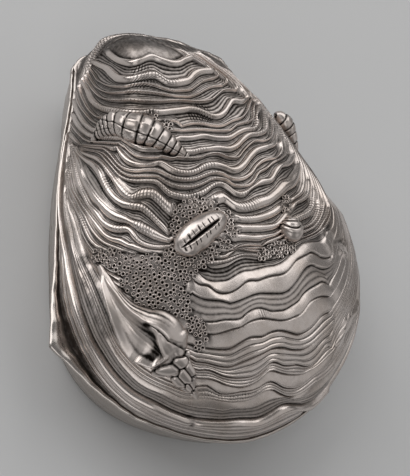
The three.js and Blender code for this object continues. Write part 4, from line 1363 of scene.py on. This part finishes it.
@dataclass(frozen=True)
class ReliefShell:
    """A small sea shell in high relief, swept along a line over the dome.

    Each station is a place in plan, the shell's half width there and how far its middle stands off the dome.
    Each swell is its place and half length along the shell, its turn and half turn in degrees, and its
    height.
    """

    name: str
    stations: Stations
    flatness: float
    swells: Fives = ()
    rings: int = 220
    sides: int = 112
    samples: int = 40
    crowding: float = 0.5
    end_turn: float = 0.02
    least_radius: float = 0.03
    sunk: float = 0.5
    foot_patina: float = 0.9
    foot_height: Pair = (0.1, 0.75)

    def form(self, share: np.ndarray, turn: np.ndarray, wide: np.ndarray) -> Relief:
        """Give what is added to the radius, in millimetres, and the patina with any painted shade; a plain
        shell adds nothing.

        Args:
            share: share of the way along, one for each ring.
            turn: angle round the ring; a quarter turn is on top.
            wide: half width in millimetres.

        Returns:
            Both as rings by sides.
        """
        return 0 * share * turn, 0 * share * turn

    def swelling(self, share: np.ndarray, turn: np.ndarray) -> np.ndarray:
        """Add up the swells, in millimetres."""
        total = 0 * share * turn
        for place, half, bearing, half_turn, height in self.swells:
            round_it = bump(turn, math.radians(bearing), math.radians(half_turn))
            total = total + height * bump(share, place, half) * round_it
        return total

    def build(self, dome: Dome, finish: bpy.types.Material) -> bpy.types.Object:
        """Sweep the shell and let its underside end just inside the lid's sheet.

        Args:
            dome: what it lies on.
            finish: its silver.

        Returns:
            The piece.
        """
        path = through(np.array(self.stations), self.samples)
        foot = dome.point(path[:, :2])
        middle = foot + dome.normal(foot) * path[:, 3:]
        run = np.concatenate([[0], np.cumsum(np.linalg.norm(np.diff(middle, axis=0), axis=-1))])
        crowded = 0.5 - 0.5 * np.cos(np.linspace(self.end_turn, np.pi - self.end_turn, self.rings))
        share = self.crowding * crowded + (1 - self.crowding) * np.linspace(0, 1, self.rings)
        even = share * run[-1]
        path = np.stack([np.interp(even, run, path[:, k]) for k in range(4)], -1)
        foot = dome.point(path[:, :2])
        up = dome.normal(foot)
        middle = foot + up * path[:, 3:]
        ahead = unit(np.gradient(middle, even, axis=0))
        side = unit(np.cross(up, ahead))
        lift = np.cross(ahead, side)
        turn = turns(self.sides)[None]
        wide = path[:, 2:3]
        extra, patina_and_shade = self.form(share[:, None], turn, wide)
        radius = np.maximum(wide + extra, self.least_radius)
        points = (
            middle[:, None]
            + (radius * np.cos(turn))[..., None] * side[:, None]
            + (self.flatness * radius * np.sin(turn))[..., None] * lift[:, None]
        )
        below = dome.point(points[..., :2])
        normal = dome.normal(below)
        height = ((points - below) * normal).sum(-1)
        points = points + normal * np.maximum(-self.sunk - height, 0)[..., None]
        patina_and_shade = np.clip(patina_and_shade + self.foot_patina * (1 - smooth_step(height, *self.foot_height)), 0, 1)
        # The rings run from the far end back, so that the faces look outwards
        return lattice(points[::-1], {"patina_and_shade": patina_and_shade[::-1]}).to_piece(self.name, finish)


@dataclass(frozen=True)
class AugerShell(ReliefShell):
    """A long curved shell with many whorls, each crossed by short ribs.

    groove, second and cord are lines down the shell: turns in degrees by share of its length. line_ends
    is how far a line fades outside and inside its ends. The dots start past the groove, in radians.
    """

    name: str = "auger_relief"
    stations: Stations = (
        (-28.0, -1.9, 0.5, 0.3), (-27.3, -0.8, 1.4, 0.6), (-25.9, 0.4, 2.3, 0.9), (-23.4, 1.0, 2.9, 1.0),
        (-21.2, 1.8, 2.7, 1.0), (-19.0, 2.3, 2.3, 0.8), (-17.0, 2.8, 1.9, 0.7), (-15.0, 3.4, 1.4, 0.5),
        (-12.6, 4.2, 0.6, 0.3),
    )
    flatness: float = 0.85
    swells: Fives = ((0.22, 0.2, 42.0, 45.0, 1.0), (0.55, 0.3, 160.0, 45.0, 0.4))
    sutures: tuple[float, ...] = (
        0.104, 0.142, 0.196, 0.236, 0.282, 0.348, 0.433, 0.538, 0.618, 0.700, 0.784, 0.841, 0.899, 0.968,
    )
    suture_half: float = 0.14
    groove_half: float = math.radians(3.2)
    groove: Pairs = (
        (0.12, 20.0), (0.18, 30.0), (0.30, 84.0), (0.43, 122.0), (0.60, 135.0), (0.85, 132.0), (0.95, 130.0),
    )
    second: Pairs = ((0.085, 55.0), (0.20, 103.0), (0.31, 129.0))
    cord: Pairs = ((0.29, 32.0), (0.376, 64.0), (0.45, 87.0), (0.54, 90.0), (0.635, 93.0))
    line_ends: Pair = (0.02, 0.01)
    groove_share: float = 0.9
    second_share: float = 0.7
    deepest: float = 1.2
    dots_along: float = 34.0
    dots_round: float = 22.0
    dots_past: Pair = (0.15, 0.35)
    dot_edge: Pair = (0.45, 0.8)
    cut_depth: float = 0.22
    cord_height: float = 0.16
    dot_depth: float = 0.10
    slim: Pair = (0.3, 1.2)
    whorl_height: float = 0.06
    cut_patina: float = 1.2
    dot_patina: float = 0.8
    cord_patina: float = -0.4
    shade: float = 0.75
    shade_turn: Pair = (0.30, 0.60)

    def along(self, line: Pairs, share: np.ndarray, turn: np.ndarray, half: float) -> np.ndarray:
        """Give 1 on a line down the shell, falling off over half a width, and 0 past its ends."""
        places, bearings = np.array(line).T
        centre = np.radians(np.interp(share, places, bearings))
        outer, inner = self.line_ends
        rise, fall = (places[0] - outer, places[0] + inner), (places[-1] - inner, places[-1] + outer)
        return bell(turn - centre, half) * between(share, rise, fall)

    def form(self, share: np.ndarray, turn: np.ndarray, wide: np.ndarray) -> Relief:
        """Cut thin sutures round the shell and long grooves down it, and raise a cord beside them.

        Each whorl swells between its sutures. The low side carries rows of punched dots.
        """
        around, turned = share + 0 * turn, turn + 0 * share
        whorl = np.mod(np.interp(around, (0.0, *self.sutures, 1.0), np.arange(len(self.sutures) + 2)), 1)
        length = np.interp(around, self.sutures, np.gradient(self.sutures)) * self.length()
        suture = bell(np.minimum(whorl, 1 - whorl) * length, self.suture_half)
        groove = self.along(self.groove, share, turn, self.groove_half)
        second = self.along(self.second, share, turn, self.groove_half)
        cord = self.along(self.cord, share, turn, 2 * self.groove_half)
        edge = np.radians(np.interp(share, *np.array(self.groove).T))
        grid = np.sin(2 * np.pi * share * self.dots_along) * np.sin(self.dots_round * turn)
        near, far = self.dots_past
        dots = smooth_step(grid, *self.dot_edge) * smooth_step(turned, edge + near, edge + far)
        cut = np.clip(suture + self.groove_share * groove + self.second_share * second, 0, self.deepest)
        extra = -self.cut_depth * cut + self.cord_height * cord * (1 - suture) - self.dot_depth * dots
        extra = extra * smooth_step(wide, *self.slim) + self.whorl_height * wide * np.sin(np.pi * whorl)
        shade = self.shade * (1 - smooth_step(turned, *self.shade_turn))
        patina_and_shade = self.cut_patina * cut + self.dot_patina * dots + shade + self.cord_patina * cord
        return extra + self.swelling(share, turn), np.clip(patina_and_shade, 0, 1)

    def length(self) -> float:
        """Give the shell's length in plan, in millimetres."""
        plan = np.array(self.stations)[:, :2]
        return float(np.linalg.norm(np.diff(plan, axis=0), axis=1).sum())


@dataclass(frozen=True)
class CowrieShell(ReliefShell):
    """An oval shell with a long slit between two rows of teeth.

    Turns, reaches and widths across the shell are in radians, and places along it are shares of its length.
    """

    name: str = "cowrie_relief"
    stations: Stations = (
        (-1.7, -11.6, 0.5, 0.4), (-1.5, -10.6, 1.7, 0.5), (-1.2, -8.6, 2.6, 0.6), (-0.8, -6.0, 2.9, 0.7),
        (-0.3, -3.2, 2.7, 0.6), (0.1, -0.8, 1.8, 0.5), (0.3, 0.4, 0.6, 0.4),
    )
    flatness: float = 0.75
    swells: Fives = ((0.15, 0.2, 180.0, 70.0, 0.9), (0.39, 0.2, 180.0, 70.0, 0.5))
    slit_turn: float = math.radians(114)
    slit_lean: float = math.radians(-22)
    slit_half: float = math.radians(8)
    slit_start: float = 0.09
    slit_length: float = 0.72
    slit_rise: Pair = (0.07, 0.12)
    slit_fall: Pair = (0.78, 0.84)
    slit_least: float = 0.3
    slit_depth: float = 1.1
    lip_away: float = 0.06
    lip_half: float = 0.05
    lip_height: float = 0.14
    stroke_reach: float = math.radians(28)
    stroke_half: float = 0.13
    stroke_depth: float = 0.2
    stroke_start: Pair = (0.02, 0.07)
    stroke_fade: float = 0.8
    left_reach: Pair = (1.05, 0.35)
    stroke_lean: float = 0.25
    wobble: Pair = (0.12, 37.0)
    teeth: float = 11.0
    slit_patina: float = 1.4
    stroke_patina: float = 1.1

    def form(self, share: np.ndarray, turn: np.ndarray, wide: np.ndarray) -> Relief:
        """Sink the slit, narrower at its ends, and cut the strokes between its teeth."""
        middle = np.clip((share - self.slit_start) / self.slit_length, 0, 1)
        half = self.slit_half * (self.slit_least + (1 - self.slit_least) * np.sqrt(np.sin(np.pi * middle)))
        ends = between(share, self.slit_rise, self.slit_fall)
        from_slit = turn - self.slit_turn - self.slit_lean * share
        away, side = np.abs(from_slit), np.sign(from_slit)
        slit = bell(away, half, 4) * ends
        lips = bell(away - half - self.lip_away, self.lip_half) * ends
        most, taper = self.left_reach
        reach = self.stroke_reach * np.where(from_slit > 0, most - taper * share, 1.0)
        near, far = self.stroke_start
        beside = between(away, (half + near, half + far), (half + self.stroke_fade * reach, half + reach))
        height, number = self.wobble
        phase = share * self.teeth + height * np.sin(number * share) + self.stroke_lean * side * (away + 1)
        phase = np.mod(phase, 1)
        stroke = beside * bell(phase - 0.5, self.stroke_half) * ends
        extra = -self.slit_depth * slit + self.lip_height * lips - self.stroke_depth * stroke
        patina_and_shade = self.slit_patina * slit + self.stroke_patina * stroke
        return extra + self.swelling(share, turn), np.clip(patina_and_shade, 0, 1)


@dataclass(frozen=True)
class MoonSnail(ReliefShell):
    """A small round snail with a low coiled top.

    Each suture has a place along the shell, how far it bows over the top and how far it tilts sideways.
    """

    name: str = "moon_snail_relief"
    stations: Stations = (
        (12.8, 8.6, 0.9, 0.6), (12.2, 9.2, 2.0, 0.9), (11.3, 10.1, 2.4, 1.1), (10.4, 11.0, 1.9, 1.0),
        (9.8, 11.6, 1.1, 0.8), (9.2, 12.2, 0.4, 0.6),
    )
    flatness: float = 0.9
    rings: int = 140
    sides: int = 80
    sutures: Triples = ((0.725, 0.30, 0.125), (0.81, 0.155, 0.05), (0.90, 0.05, 0.0))
    suture_half: float = 0.022
    suture_depth: float = 0.36
    suture_patina: float = 1.3
    whorl_back: float = 0.09
    whorl_half: float = 0.1
    whorl_height: float = 0.16

    def form(self, share: np.ndarray, turn: np.ndarray, wide: np.ndarray) -> Relief:
        """Cut the grooves between the whorls and swell each whorl a little."""
        groove, swell = 0.0, 0.0
        for place, bow, tilt in self.sutures:
            lean = share + bow * np.maximum(np.sin(turn), 0) + tilt * np.cos(turn)
            groove = groove + bell(lean - place, self.suture_half)
            swell = swell + bump(lean, place - self.whorl_back, self.whorl_half)
        patina_and_shade = np.clip(self.suture_patina * groove, 0, 1)
        return self.whorl_height * swell - self.suture_depth * groove, patina_and_shade


@dataclass(frozen=True)
class WhelkShell(ReliefShell):
    """The largest shell: a long canal, an open mouth with a sharp lip, and a knobbed spire.

    Each row of mouth gives, for a share of the length, where its two lips lie across: -1 at one edge of
    the shell, 1 at the other. coil gives the groove beside the mouth in the same way. A suture is a place
    and a tilt. A shoulder is a height, a place, a half length, a side and where it starts across. Fields
    with two numbers are stretches that something rises or falls over, along the length or across, or for
    a width in millimetres; a wave is its height and its numbers. The mouth's pair of tones is the patina
    of the shallow mouth and the painted shade that its depth adds.
    """

    name: str = "whelk_relief"
    stations: Stations = (
        (-9.6, -20.4, 0.5, 0.3), (-7.0, -21.7, 1.0, 0.6), (-3.4, -23.4, 1.9, 0.9), (0.4, -24.6, 3.0, 1.1),
        (4.0, -24.9, 4.7, 1.2), (7.2, -24.5, 5.9, 1.2), (9.8, -24.5, 5.2, 1.2), (11.4, -24.5, 3.6, 1.1),
        (13.6, -24.5, 3.1, 1.0), (14.4, -24.5, 2.4, 0.9), (16.9, -24.5, 2.0, 0.8), (17.6, -24.5, 1.4, 0.7),
        (21.2, -24.3, 0.4, 0.4),
    )
    flatness: float = 0.6
    rings: int = 330
    sides: int = 210
    mouth: Triples = (
        (0.04, -0.20, 0.00), (0.10, -0.30, 0.17), (0.21, -0.38, 0.46), (0.32, -0.58, 0.46),
        (0.40, -0.75, 0.44), (0.485, -0.87, 0.38), (0.53, -0.86, 0.28), (0.567, -0.80, 0.08),
        (0.63, -0.71, -0.11), (0.66, -0.62, -0.20),
    )
    mouth_rise: Pair = (0.04, 0.12)
    mouth_fall: Pair = (0.625, 0.66)
    mouth_least: float = 0.02
    mouth_width: Pair = (0.8, 4.5)
    mouth_depth: float = 2.6
    top_edge: Pair = (0.0, 0.3)
    bowl_power: float = 0.6
    lip_inset: float = 0.03
    lip_half: float = 0.24
    lip_height: float = 1.0
    far_lip_inset: float = 0.04
    far_lip_half: float = 0.30
    far_lip_height: float = 0.40
    close_at: float = 0.662
    close_half: float = 0.014
    close_height: float = 1.0
    close_tilt: float = 0.012
    close_rise: Pair = (-0.9, -0.7)
    close_fall: Pair = (-0.15, 0.1)
    coil: Pairs = ((0.46, 0.40), (0.54, 0.38), (0.60, 0.38), (0.635, 0.53), (0.696, 0.90))
    coil_rise: Pair = (0.44, 0.48)
    coil_fall: Pair = (0.69, 0.71)
    coil_half: float = 0.26
    coil_depth: float = 0.55
    sutures: Pairs = ((0.700, -0.015), (0.777, 0.02), (0.867, 0.015), (0.935, 0.01))
    suture_half: float = 0.008
    suture_depth: float = 0.5
    suture_wave: tuple[float, float, float] = (0.007, 7.0, 90.0)
    spire_start: float = 0.7
    spire_end: Pair = (0.93, 0.97)
    blocks: int = 6
    block_shift: float = 0.38
    block_twist: float = 2.7
    gap_half: float = 0.11
    gap_depth: float = 0.4
    knob_width: Pair = (0.5, 1.5)
    knob_height: float = 0.5
    shoulders: Fives = ((1.0, 0.66, 0.06, 1.0, 0.4), (1.1, 0.705, 0.07, -1.0, 0.3))
    streak_wave: tuple[float, float, float] = (0.02, 30.0, 6.0)
    streak_rise: Pair = (0.02, 0.1)
    deep_across: Pair = (0.5, 0.9)
    deep_along: Pair = (0.36, 0.5)
    deep_end: Pair = (0.56, 0.60)
    # Patina of the shallow mouth, and the painted shade that its depth adds
    mouth_patina_and_shade: Pair = (0.2, 0.7)
    inside_rise: Pair = (0.02, 0.14)
    inside_fall: Pair = (0.94, 1.02)
    seam_at: float = 0.06
    seam_half: float = 0.04
    seam_along: Pair = (0.3, 0.5)
    seam_patina: float = 0.8
    body_across: Pair = (0.45, 0.6)
    body_rise: Pair = (0.1, 0.25)
    body_fall: Pair = (0.52, 0.62)
    body_patina: float = 0.55
    body_wave: Pair = (0.25, 40.0)
    groove_patina: float = 0.9
    lip_patina: float = -0.7
    streak_patina: float = 0.12

    def form(self, share: np.ndarray, turn: np.ndarray, wide: np.ndarray) -> Relief:
        """Hollow the mouth between its two lips, coil the body beside it, and cut the spire into blocks."""
        across = np.cos(turn) + 0 * share
        top = smooth_step(np.sin(turn) + 0 * share, *self.top_edge)
        places, lows, highs = np.array(self.mouth).T
        low, high = np.interp(share, places, lows), np.interp(share, places, highs)
        gape = between(share, self.mouth_rise, self.mouth_fall) * top
        place = (across - low) / np.maximum(high - low, self.mouth_least)
        bowl = np.clip(1 - (2 * place - 1) ** 2, 0, 1) ** self.bowl_power * gape
        lip = bell((across - low + self.lip_inset) * wide, self.lip_half) * gape
        far_lip = bell((across - high - self.far_lip_inset) * wide, self.far_lip_half) * gape
        close = bell(share - self.close_at - self.close_tilt * across, self.close_half) * top
        close = close * between(across, self.close_rise, self.close_fall)
        beside = np.interp(share, *np.array(self.coil).T)
        coil = bell((across - beside) * wide, self.coil_half) * top
        coil = coil * between(share, self.coil_rise, self.coil_fall)
        groove, number = 0.0, 0.0
        height, round_it, by_place = self.suture_wave
        for stop, tilt in self.sutures:
            lean = share + tilt * across + height * np.sin(round_it * across + by_place * stop)
            groove = groove + bell(lean - stop, self.suture_half)
            number = number + (lean > stop)
        spire = np.minimum(number, 1.0)
        twist = self.block_shift * number + self.block_twist * (share - self.spire_start)
        cell = np.mod(self.blocks * turn / (2 * np.pi) + twist, 1)
        gap = bell(np.minimum(cell, 1 - cell), self.gap_half) * spire
        gap = gap * (1 - smooth_step(share, *self.spire_end))
        knob = (1 - (2 * cell - 1) ** 2) * spire * smooth_step(wide, *self.knob_width)
        swell = 0.0
        for rise, middle, half, side, start in self.shoulders:
            swell = swell + rise * bump(share, middle, half) * smooth_step(side * across, start, 1.0)
        streak_height, by_turn, by_share = self.streak_wave
        streaks = np.sin(by_turn * across + by_share * share) * (1 - spire)
        streaks = streaks * smooth_step(share, *self.streak_rise)
        extra = swell + self.knob_height * knob + streak_height * streaks
        extra = extra + self.lip_height * lip + self.far_lip_height * far_lip + self.close_height * close
        extra = extra - self.coil_depth * coil - self.suture_depth * groove - self.gap_depth * gap
        extra = extra - self.mouth_depth * smooth_step(wide, *self.mouth_width) * bowl
        # Painted shade: deep darkens the mouth into its depth and towards its far lip
        deep = smooth_step(place, *self.deep_across) * smooth_step(share, *self.deep_along)
        deep = np.clip(deep + smooth_step(share, *self.deep_end), 0, 1)
        inside = between(place, self.inside_rise, self.inside_fall) * gape
        seam = bell(place - self.seam_at, self.seam_half) * gape * smooth_step(share, *self.seam_along)
        body = smooth_step(across, *self.body_across) * between(share, self.body_rise, self.body_fall)
        height, number = self.body_wave
        patina_and_shade = self.groove_patina * (groove + gap + coil) + self.lip_patina * (lip + close)
        patina_and_shade = patina_and_shade + inside * (self.mouth_patina_and_shade[0] + self.mouth_patina_and_shade[1] * deep)
        patina_and_shade = patina_and_shade + (self.body_patina + height * np.sin(number * across)) * body * (1 - spire)
        patina_and_shade = patina_and_shade + self.seam_patina * seam + self.streak_patina * streaks
        return extra, np.clip(patina_and_shade, 0, 1)


@dataclass(frozen=True)
class SideShell(ReliefShell):
    """A small pointed shell on the far flank."""

    name: str = "side_relief"
    stations: Stations = (
        (-7.1, 30.2, 0.6, 1.7), (-6.1, 30.4, 1.5, 2.1), (-4.4, 30.6, 2.0, 2.2), (-2.4, 30.8, 1.7, 1.9),
        (-0.6, 30.8, 1.1, 1.5), (1.4, 30.9, 0.4, 0.9),
    )
    flatness: float = 0.9
    rings: int = 120
    sides: int = 64
    whorls: float = 5.0
    whorl_lean: float = 0.12
    suture_half: float = 0.12
    suture_depth: float = 0.22

    def form(self, share: np.ndarray, turn: np.ndarray, wide: np.ndarray) -> Relief:
        """Cut a groove between the whorls."""
        whorl = np.mod(share * self.whorls + self.whorl_lean * np.sin(turn), 1)
        groove = bell(np.minimum(whorl, 1 - whorl), self.suture_half)
        return -self.suture_depth * groove * np.minimum(wide, 1), groove


def add_node(
    tree: bpy.types.NodeTree,
    kind: str,
    output: str | None,
    inputs: dict[str | int, object],
    **settings: object,
) -> bpy.types.NodeSocket | None:
    """Add a shader node.

    Args:
        tree: the material's node tree.
        kind: the node's Blender type, without its leading ShaderNode.
        output: the name of the output that is wanted.
        inputs: its sockets by name or number, each a value or another node's output to link.
        settings: its properties.

    Returns:
        The wanted output, or None where no output is named.
    """
    node = tree.nodes.new(f"ShaderNode{kind}")
    for key, value in settings.items():
        setattr(node, key, value)
    for key, value in inputs.items():
        if isinstance(value, bpy.types.NodeSocket):
            tree.links.new(value, node.inputs[key])
        else:
            node.inputs[key].default_value = value
    return node.outputs[output] if output else None


@dataclass(frozen=True)
class SilverFinish:
    """Silver as one workshop step leaves it: bright on its heights, tarnished in its hollows, darker still
    where painted shade is laid in with the tarnish.

    Lengths are in millimetres. pale, dark and brown are sRGB hex colours. blotch, grain and dent are the
    sizes of brown stains, fine wear and hammer dents.
    """

    name: str
    pale: str
    dark: str
    brown: str
    roughness: float
    hollow_roughness: float
    brown_share: float
    blotch: float
    grain: float
    grain_height: float
    dent: float = 0.0
    dent_height: float = 0.0
    hatch_height: float = 0.0
    hatch_pitch: float = 0.6
    hatch_from: float = 0.5
    hatch_dark: float = 0.6
    uneven: float = 0.5
    clean_until: float = 0.15
    stain_from: float = 0.45
    stain_to: float = 0.72

    def material(self) -> bpy.types.Material:
        """Make the node material.

        Returns:
            Metallic silver whose colour and roughness follow the piece's attribute of patina and painted
            shade.
        """
        material = bpy.data.materials.new(self.name)
        material.use_nodes = True
        material.node_tree.nodes.clear()
        add = partial(add_node, material.node_tree)
        place = add("TexCoord", "Object", {})

        def noise(size: float, **detail: float) -> bpy.types.NodeSocket:
            """Add noise with features of a size in millimetres."""
            return add("TexNoise", "Fac", {"Vector": place, "Scale": 1 / (size * METRES), **detail})

        def carve(height: bpy.types.NodeSocket, depth: float, **more: object) -> bpy.types.NodeSocket:
            """Add fine relief of a depth in millimetres; under it may lie another normal, in more."""
            inverted = more.pop("invert", False)
            inputs = {"Height": height, "Strength": 1.0, "Distance": depth * METRES, **more}
            return add("Bump", "Normal", inputs, invert=inverted)

        blotches = noise(self.blotch, Detail=4.0, Roughness=0.6)
        specks = noise(self.grain, Detail=3.0, Roughness=0.7)
        span = {"From Min": self.stain_from, "From Max": self.stain_to, "To Max": self.brown_share}
        stain = add("MapRange", "Result", {"Value": blotches, **span})
        colours = {"Factor": stain, "A": srgb(self.pale), "B": srgb(self.brown)}
        pale = add("Mix", "Result", colours, data_type="RGBA")
        # One attribute carries the patina and, where it is laid in, painted shade
        patina_and_shade = add("Attribute", "Fac", {}, attribute_name="patina_and_shade")
        spread = {0: specks, 1: self.uneven, 2: -self.uneven / 2}
        uneven = add("Math", "Value", spread, operation="MULTIPLY_ADD")
        depth = add("Math", "Value", {0: patina_and_shade, 1: uneven}, operation="ADD", use_clamp=True)
        normal = carve(specks, self.grain_height)
        if self.dent_height:
            normal = carve(noise(self.dent, Detail=1.0), self.dent_height, Normal=normal)
        if self.hatch_height:
            along = add("UVMap", "UV", {}, uv_map="UVMap")
            waves = {"Vector": along, "Scale": WAVE_BAND / self.hatch_pitch, "Distortion": 0.0}
            strokes = add("TexWave", "Fac", waves, wave_type="BANDS", bands_direction="X")
            crests = {"Value": strokes, "From Min": self.hatch_from}
            narrow = add("MapRange", "Result", crests, interpolation_type="SMOOTHSTEP")
            hatched = add("Attribute", "Fac", {}, attribute_name="hatch")
            cut = add("Math", "Value", {0: narrow, 1: hatched}, operation="MULTIPLY")
            darker = {0: cut, 1: self.hatch_dark, 2: depth}
            depth = add("Math", "Value", darker, operation="MULTIPLY_ADD", use_clamp=True)
            normal = carve(cut, self.hatch_height, Normal=normal, invert=True)
        tarnish_and_shade = {"Value": depth, "From Min": self.clean_until}
        deep = add("MapRange", "Result", tarnish_and_shade, interpolation_type="SMOOTHSTEP")
        colour = add("Mix", "Result", {"Factor": deep, "A": pale, "B": srgb(self.dark)}, data_type="RGBA")
        gloss = {"Value": depth, "To Min": self.roughness, "To Max": self.hollow_roughness}
        surface = {
            "Base Color": colour,
            "Metallic": 1.0,
            "Roughness": add("MapRange", "Result", gloss),
            "Normal": normal,
        }
        add("OutputMaterial", None, {"Surface": add("BsdfPrincipled", "BSDF", surface)})
        return material


# Sterling silver, raised and chased, then oxidised and rubbed back: bright ridges, near-black grooves
CHASED = SilverFinish(
    "sterling_silver_chased", pale="#d8cec8", dark="#191512", brown="#86715b", roughness=0.21,
    hollow_roughness=0.5, brown_share=0.4, blotch=9.0, grain=0.7, grain_height=0.012, dent=6.0,
    dent_height=0.05, hatch_height=0.06,
)
# Sterling silver, cast and worked up with gravers: a little greyer in its many small hollows
RELIEF = SilverFinish(
    "sterling_silver_cast", pale="#d5cbc5", dark="#171310", brown="#806b55", roughness=0.28,
    hollow_roughness=0.55, brown_share=0.3, blotch=5.0, grain=0.5, grain_height=0.01,
)
# Sterling silver, hammered and polished, long handled: soft broad gloss with faint dents
PLAIN = SilverFinish(
    "sterling_silver_hammered", pale="#c6beb8", dark="#2a2420", brown="#8f8171", roughness=0.24,
    hollow_roughness=0.5, brown_share=0.12, blotch=12.0, grain=0.9, grain_height=0.008, dent=7.0,
    dent_height=0.12,
)
# Fire-gilt silver, burnished: warm yellow, a little worn to silver in patches
GILT = SilverFinish(
    "fire_gilt_silver_burnished", pale="#d9b25a", dark="#6b4a1c", brown="#b98c3c", roughness=0.28,
    hollow_roughness=0.45, brown_share=0.4, blotch=10.0, grain=0.8, grain_height=0.006,
)


@dataclass(frozen=True)
class Studio:
    """Pale floor, soft lamps and a dim grey surround.

    Each lamp is its bearing from +X and its elevation in degrees, its distance and side in metres, its watts.
    """

    floor_colour: str = "#c9c9c9"
    floor_roughness: float = 0.9
    floor_side: float = 6.0
    world_level: float = 0.17
    lamps: Fives = (
        (25.0, 45.0, 0.9, 1.2, 1.5),
        (-80.0, 42.0, 0.9, 0.7, 1.3),
        (185.0, 37.0, 1.0, 0.9, 4.9),
        (108.0, 46.0, 0.9, 0.8, 2.5),
    )

    def lay_floor(self) -> None:
        """Lay a square of matt paper."""
        mesh = bpy.data.meshes.new("floor")
        corners = np.array([(-1, -1, 0), (1, -1, 0), (1, 1, 0), (-1, 1, 0)]) * self.floor_side / 2
        mesh.from_pydata(corners.tolist(), [], [(0, 1, 2, 3)])
        paper = bpy.data.materials.new("matt_paper")
        paper.use_nodes = True
        surface = paper.node_tree.nodes["Principled BSDF"]
        surface.inputs["Base Color"].default_value = srgb(self.floor_colour)
        surface.inputs["Roughness"].default_value = self.floor_roughness
        mesh.materials.append(paper)
        floor = bpy.data.objects.new("floor", mesh)
        bpy.context.scene.collection.objects.link(floor)

    def build(self, target: tuple[float, float, float]) -> None:
        """Lay the floor, hang the lamps and set the surround.

        Args:
            target: where the lamps point, in millimetres.
        """
        scene = bpy.context.scene
        scene.view_settings.view_transform = "Standard"
        self.lay_floor()
        for number, (bearing, elevation, distance, side, watts) in enumerate(self.lamps):
            turn, tilt = math.radians(bearing), math.radians(elevation)
            flat = math.cos(tilt)
            towards = np.array([flat * math.cos(turn), flat * math.sin(turn), math.sin(tilt)])
            level = unit(np.cross([0.0, 0.0, 1.0], towards))
            data = bpy.data.lights.new(f"softbox_{number}", "AREA")
            data.shape = "SQUARE"
            data.size = side
            data.energy = watts
            lamp = bpy.data.objects.new(f"softbox_{number}", data)
            place = np.array(target) * METRES + towards * distance
            stand(lamp, (level, np.cross(towards, level), towards), place)
        world = bpy.data.worlds.new("surround")
        world.use_nodes = True
        background = world.node_tree.nodes["Background"]
        background.inputs["Color"].default_value = (self.world_level, self.world_level, self.world_level, 1)
        background.inputs["Strength"].default_value = 1.0
        scene.world = world


def dress(piece: bpy.types.Object, body: str, slot: str, *nodes: str) -> None:
    """Let a piece ride on its body and stand for its nodes."""
    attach(piece, body)
    if nodes:
        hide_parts(*nodes)
    LOG.info("%s: %d faces", piece.name, len(piece.data.polygons))


def main() -> None:
    """Build the box around its frame, then the studio and the camera."""
    logging.basicConfig(level=logging.INFO, format="%(message)s")
    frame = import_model()
    chased, relief, plain, gilt = (finish.material() for finish in (CHASED, RELIEF, PLAIN, GILT))
    rim, view, zone = Rim(), View(), PunchedZone()
    dome = Dome(rim)
    dress(UpperValve(GrowthField(dome, view), zone).build(chased, gilt), "lid", "chased_silver", "lid")
    dress(RingMarks(zone).build(dome, view, chased), "lid", "chased_silver")
    dress(LowerValve(rim).build(plain, gilt), "base", "plain_silver", "lower_valve")
    dress(MouthBezel(rim).build(gilt), "base", "gilt_silver", "mouth_bezel")
    shells = {
        "auger_shell": AugerShell(),
        "cowrie_shell": CowrieShell(),
        "moon_snail": MoonSnail(),
        "whelk_shell": WhelkShell(),
        "side_shell": SideShell(),
    }
    for node, shell in shells.items():
        dress(shell.build(dome, relief), "lid", "relief_silver", node)
    Hinge().build(plain)
    # The pin, its plugs and the bearers are plain enough to be shown as they are
    for name in ("hinge_pin", "pin_plug_left", "pin_plug_right", "base_hinge_bearer", "lid_hinge_bearer"):
        shown = frame["nodes"][name].data.materials
        for place in range(len(shown)):
            shown[place] = plain
    Studio().build(view.target)
    view.add_camera()


if __name__ == "__main__":
    main()
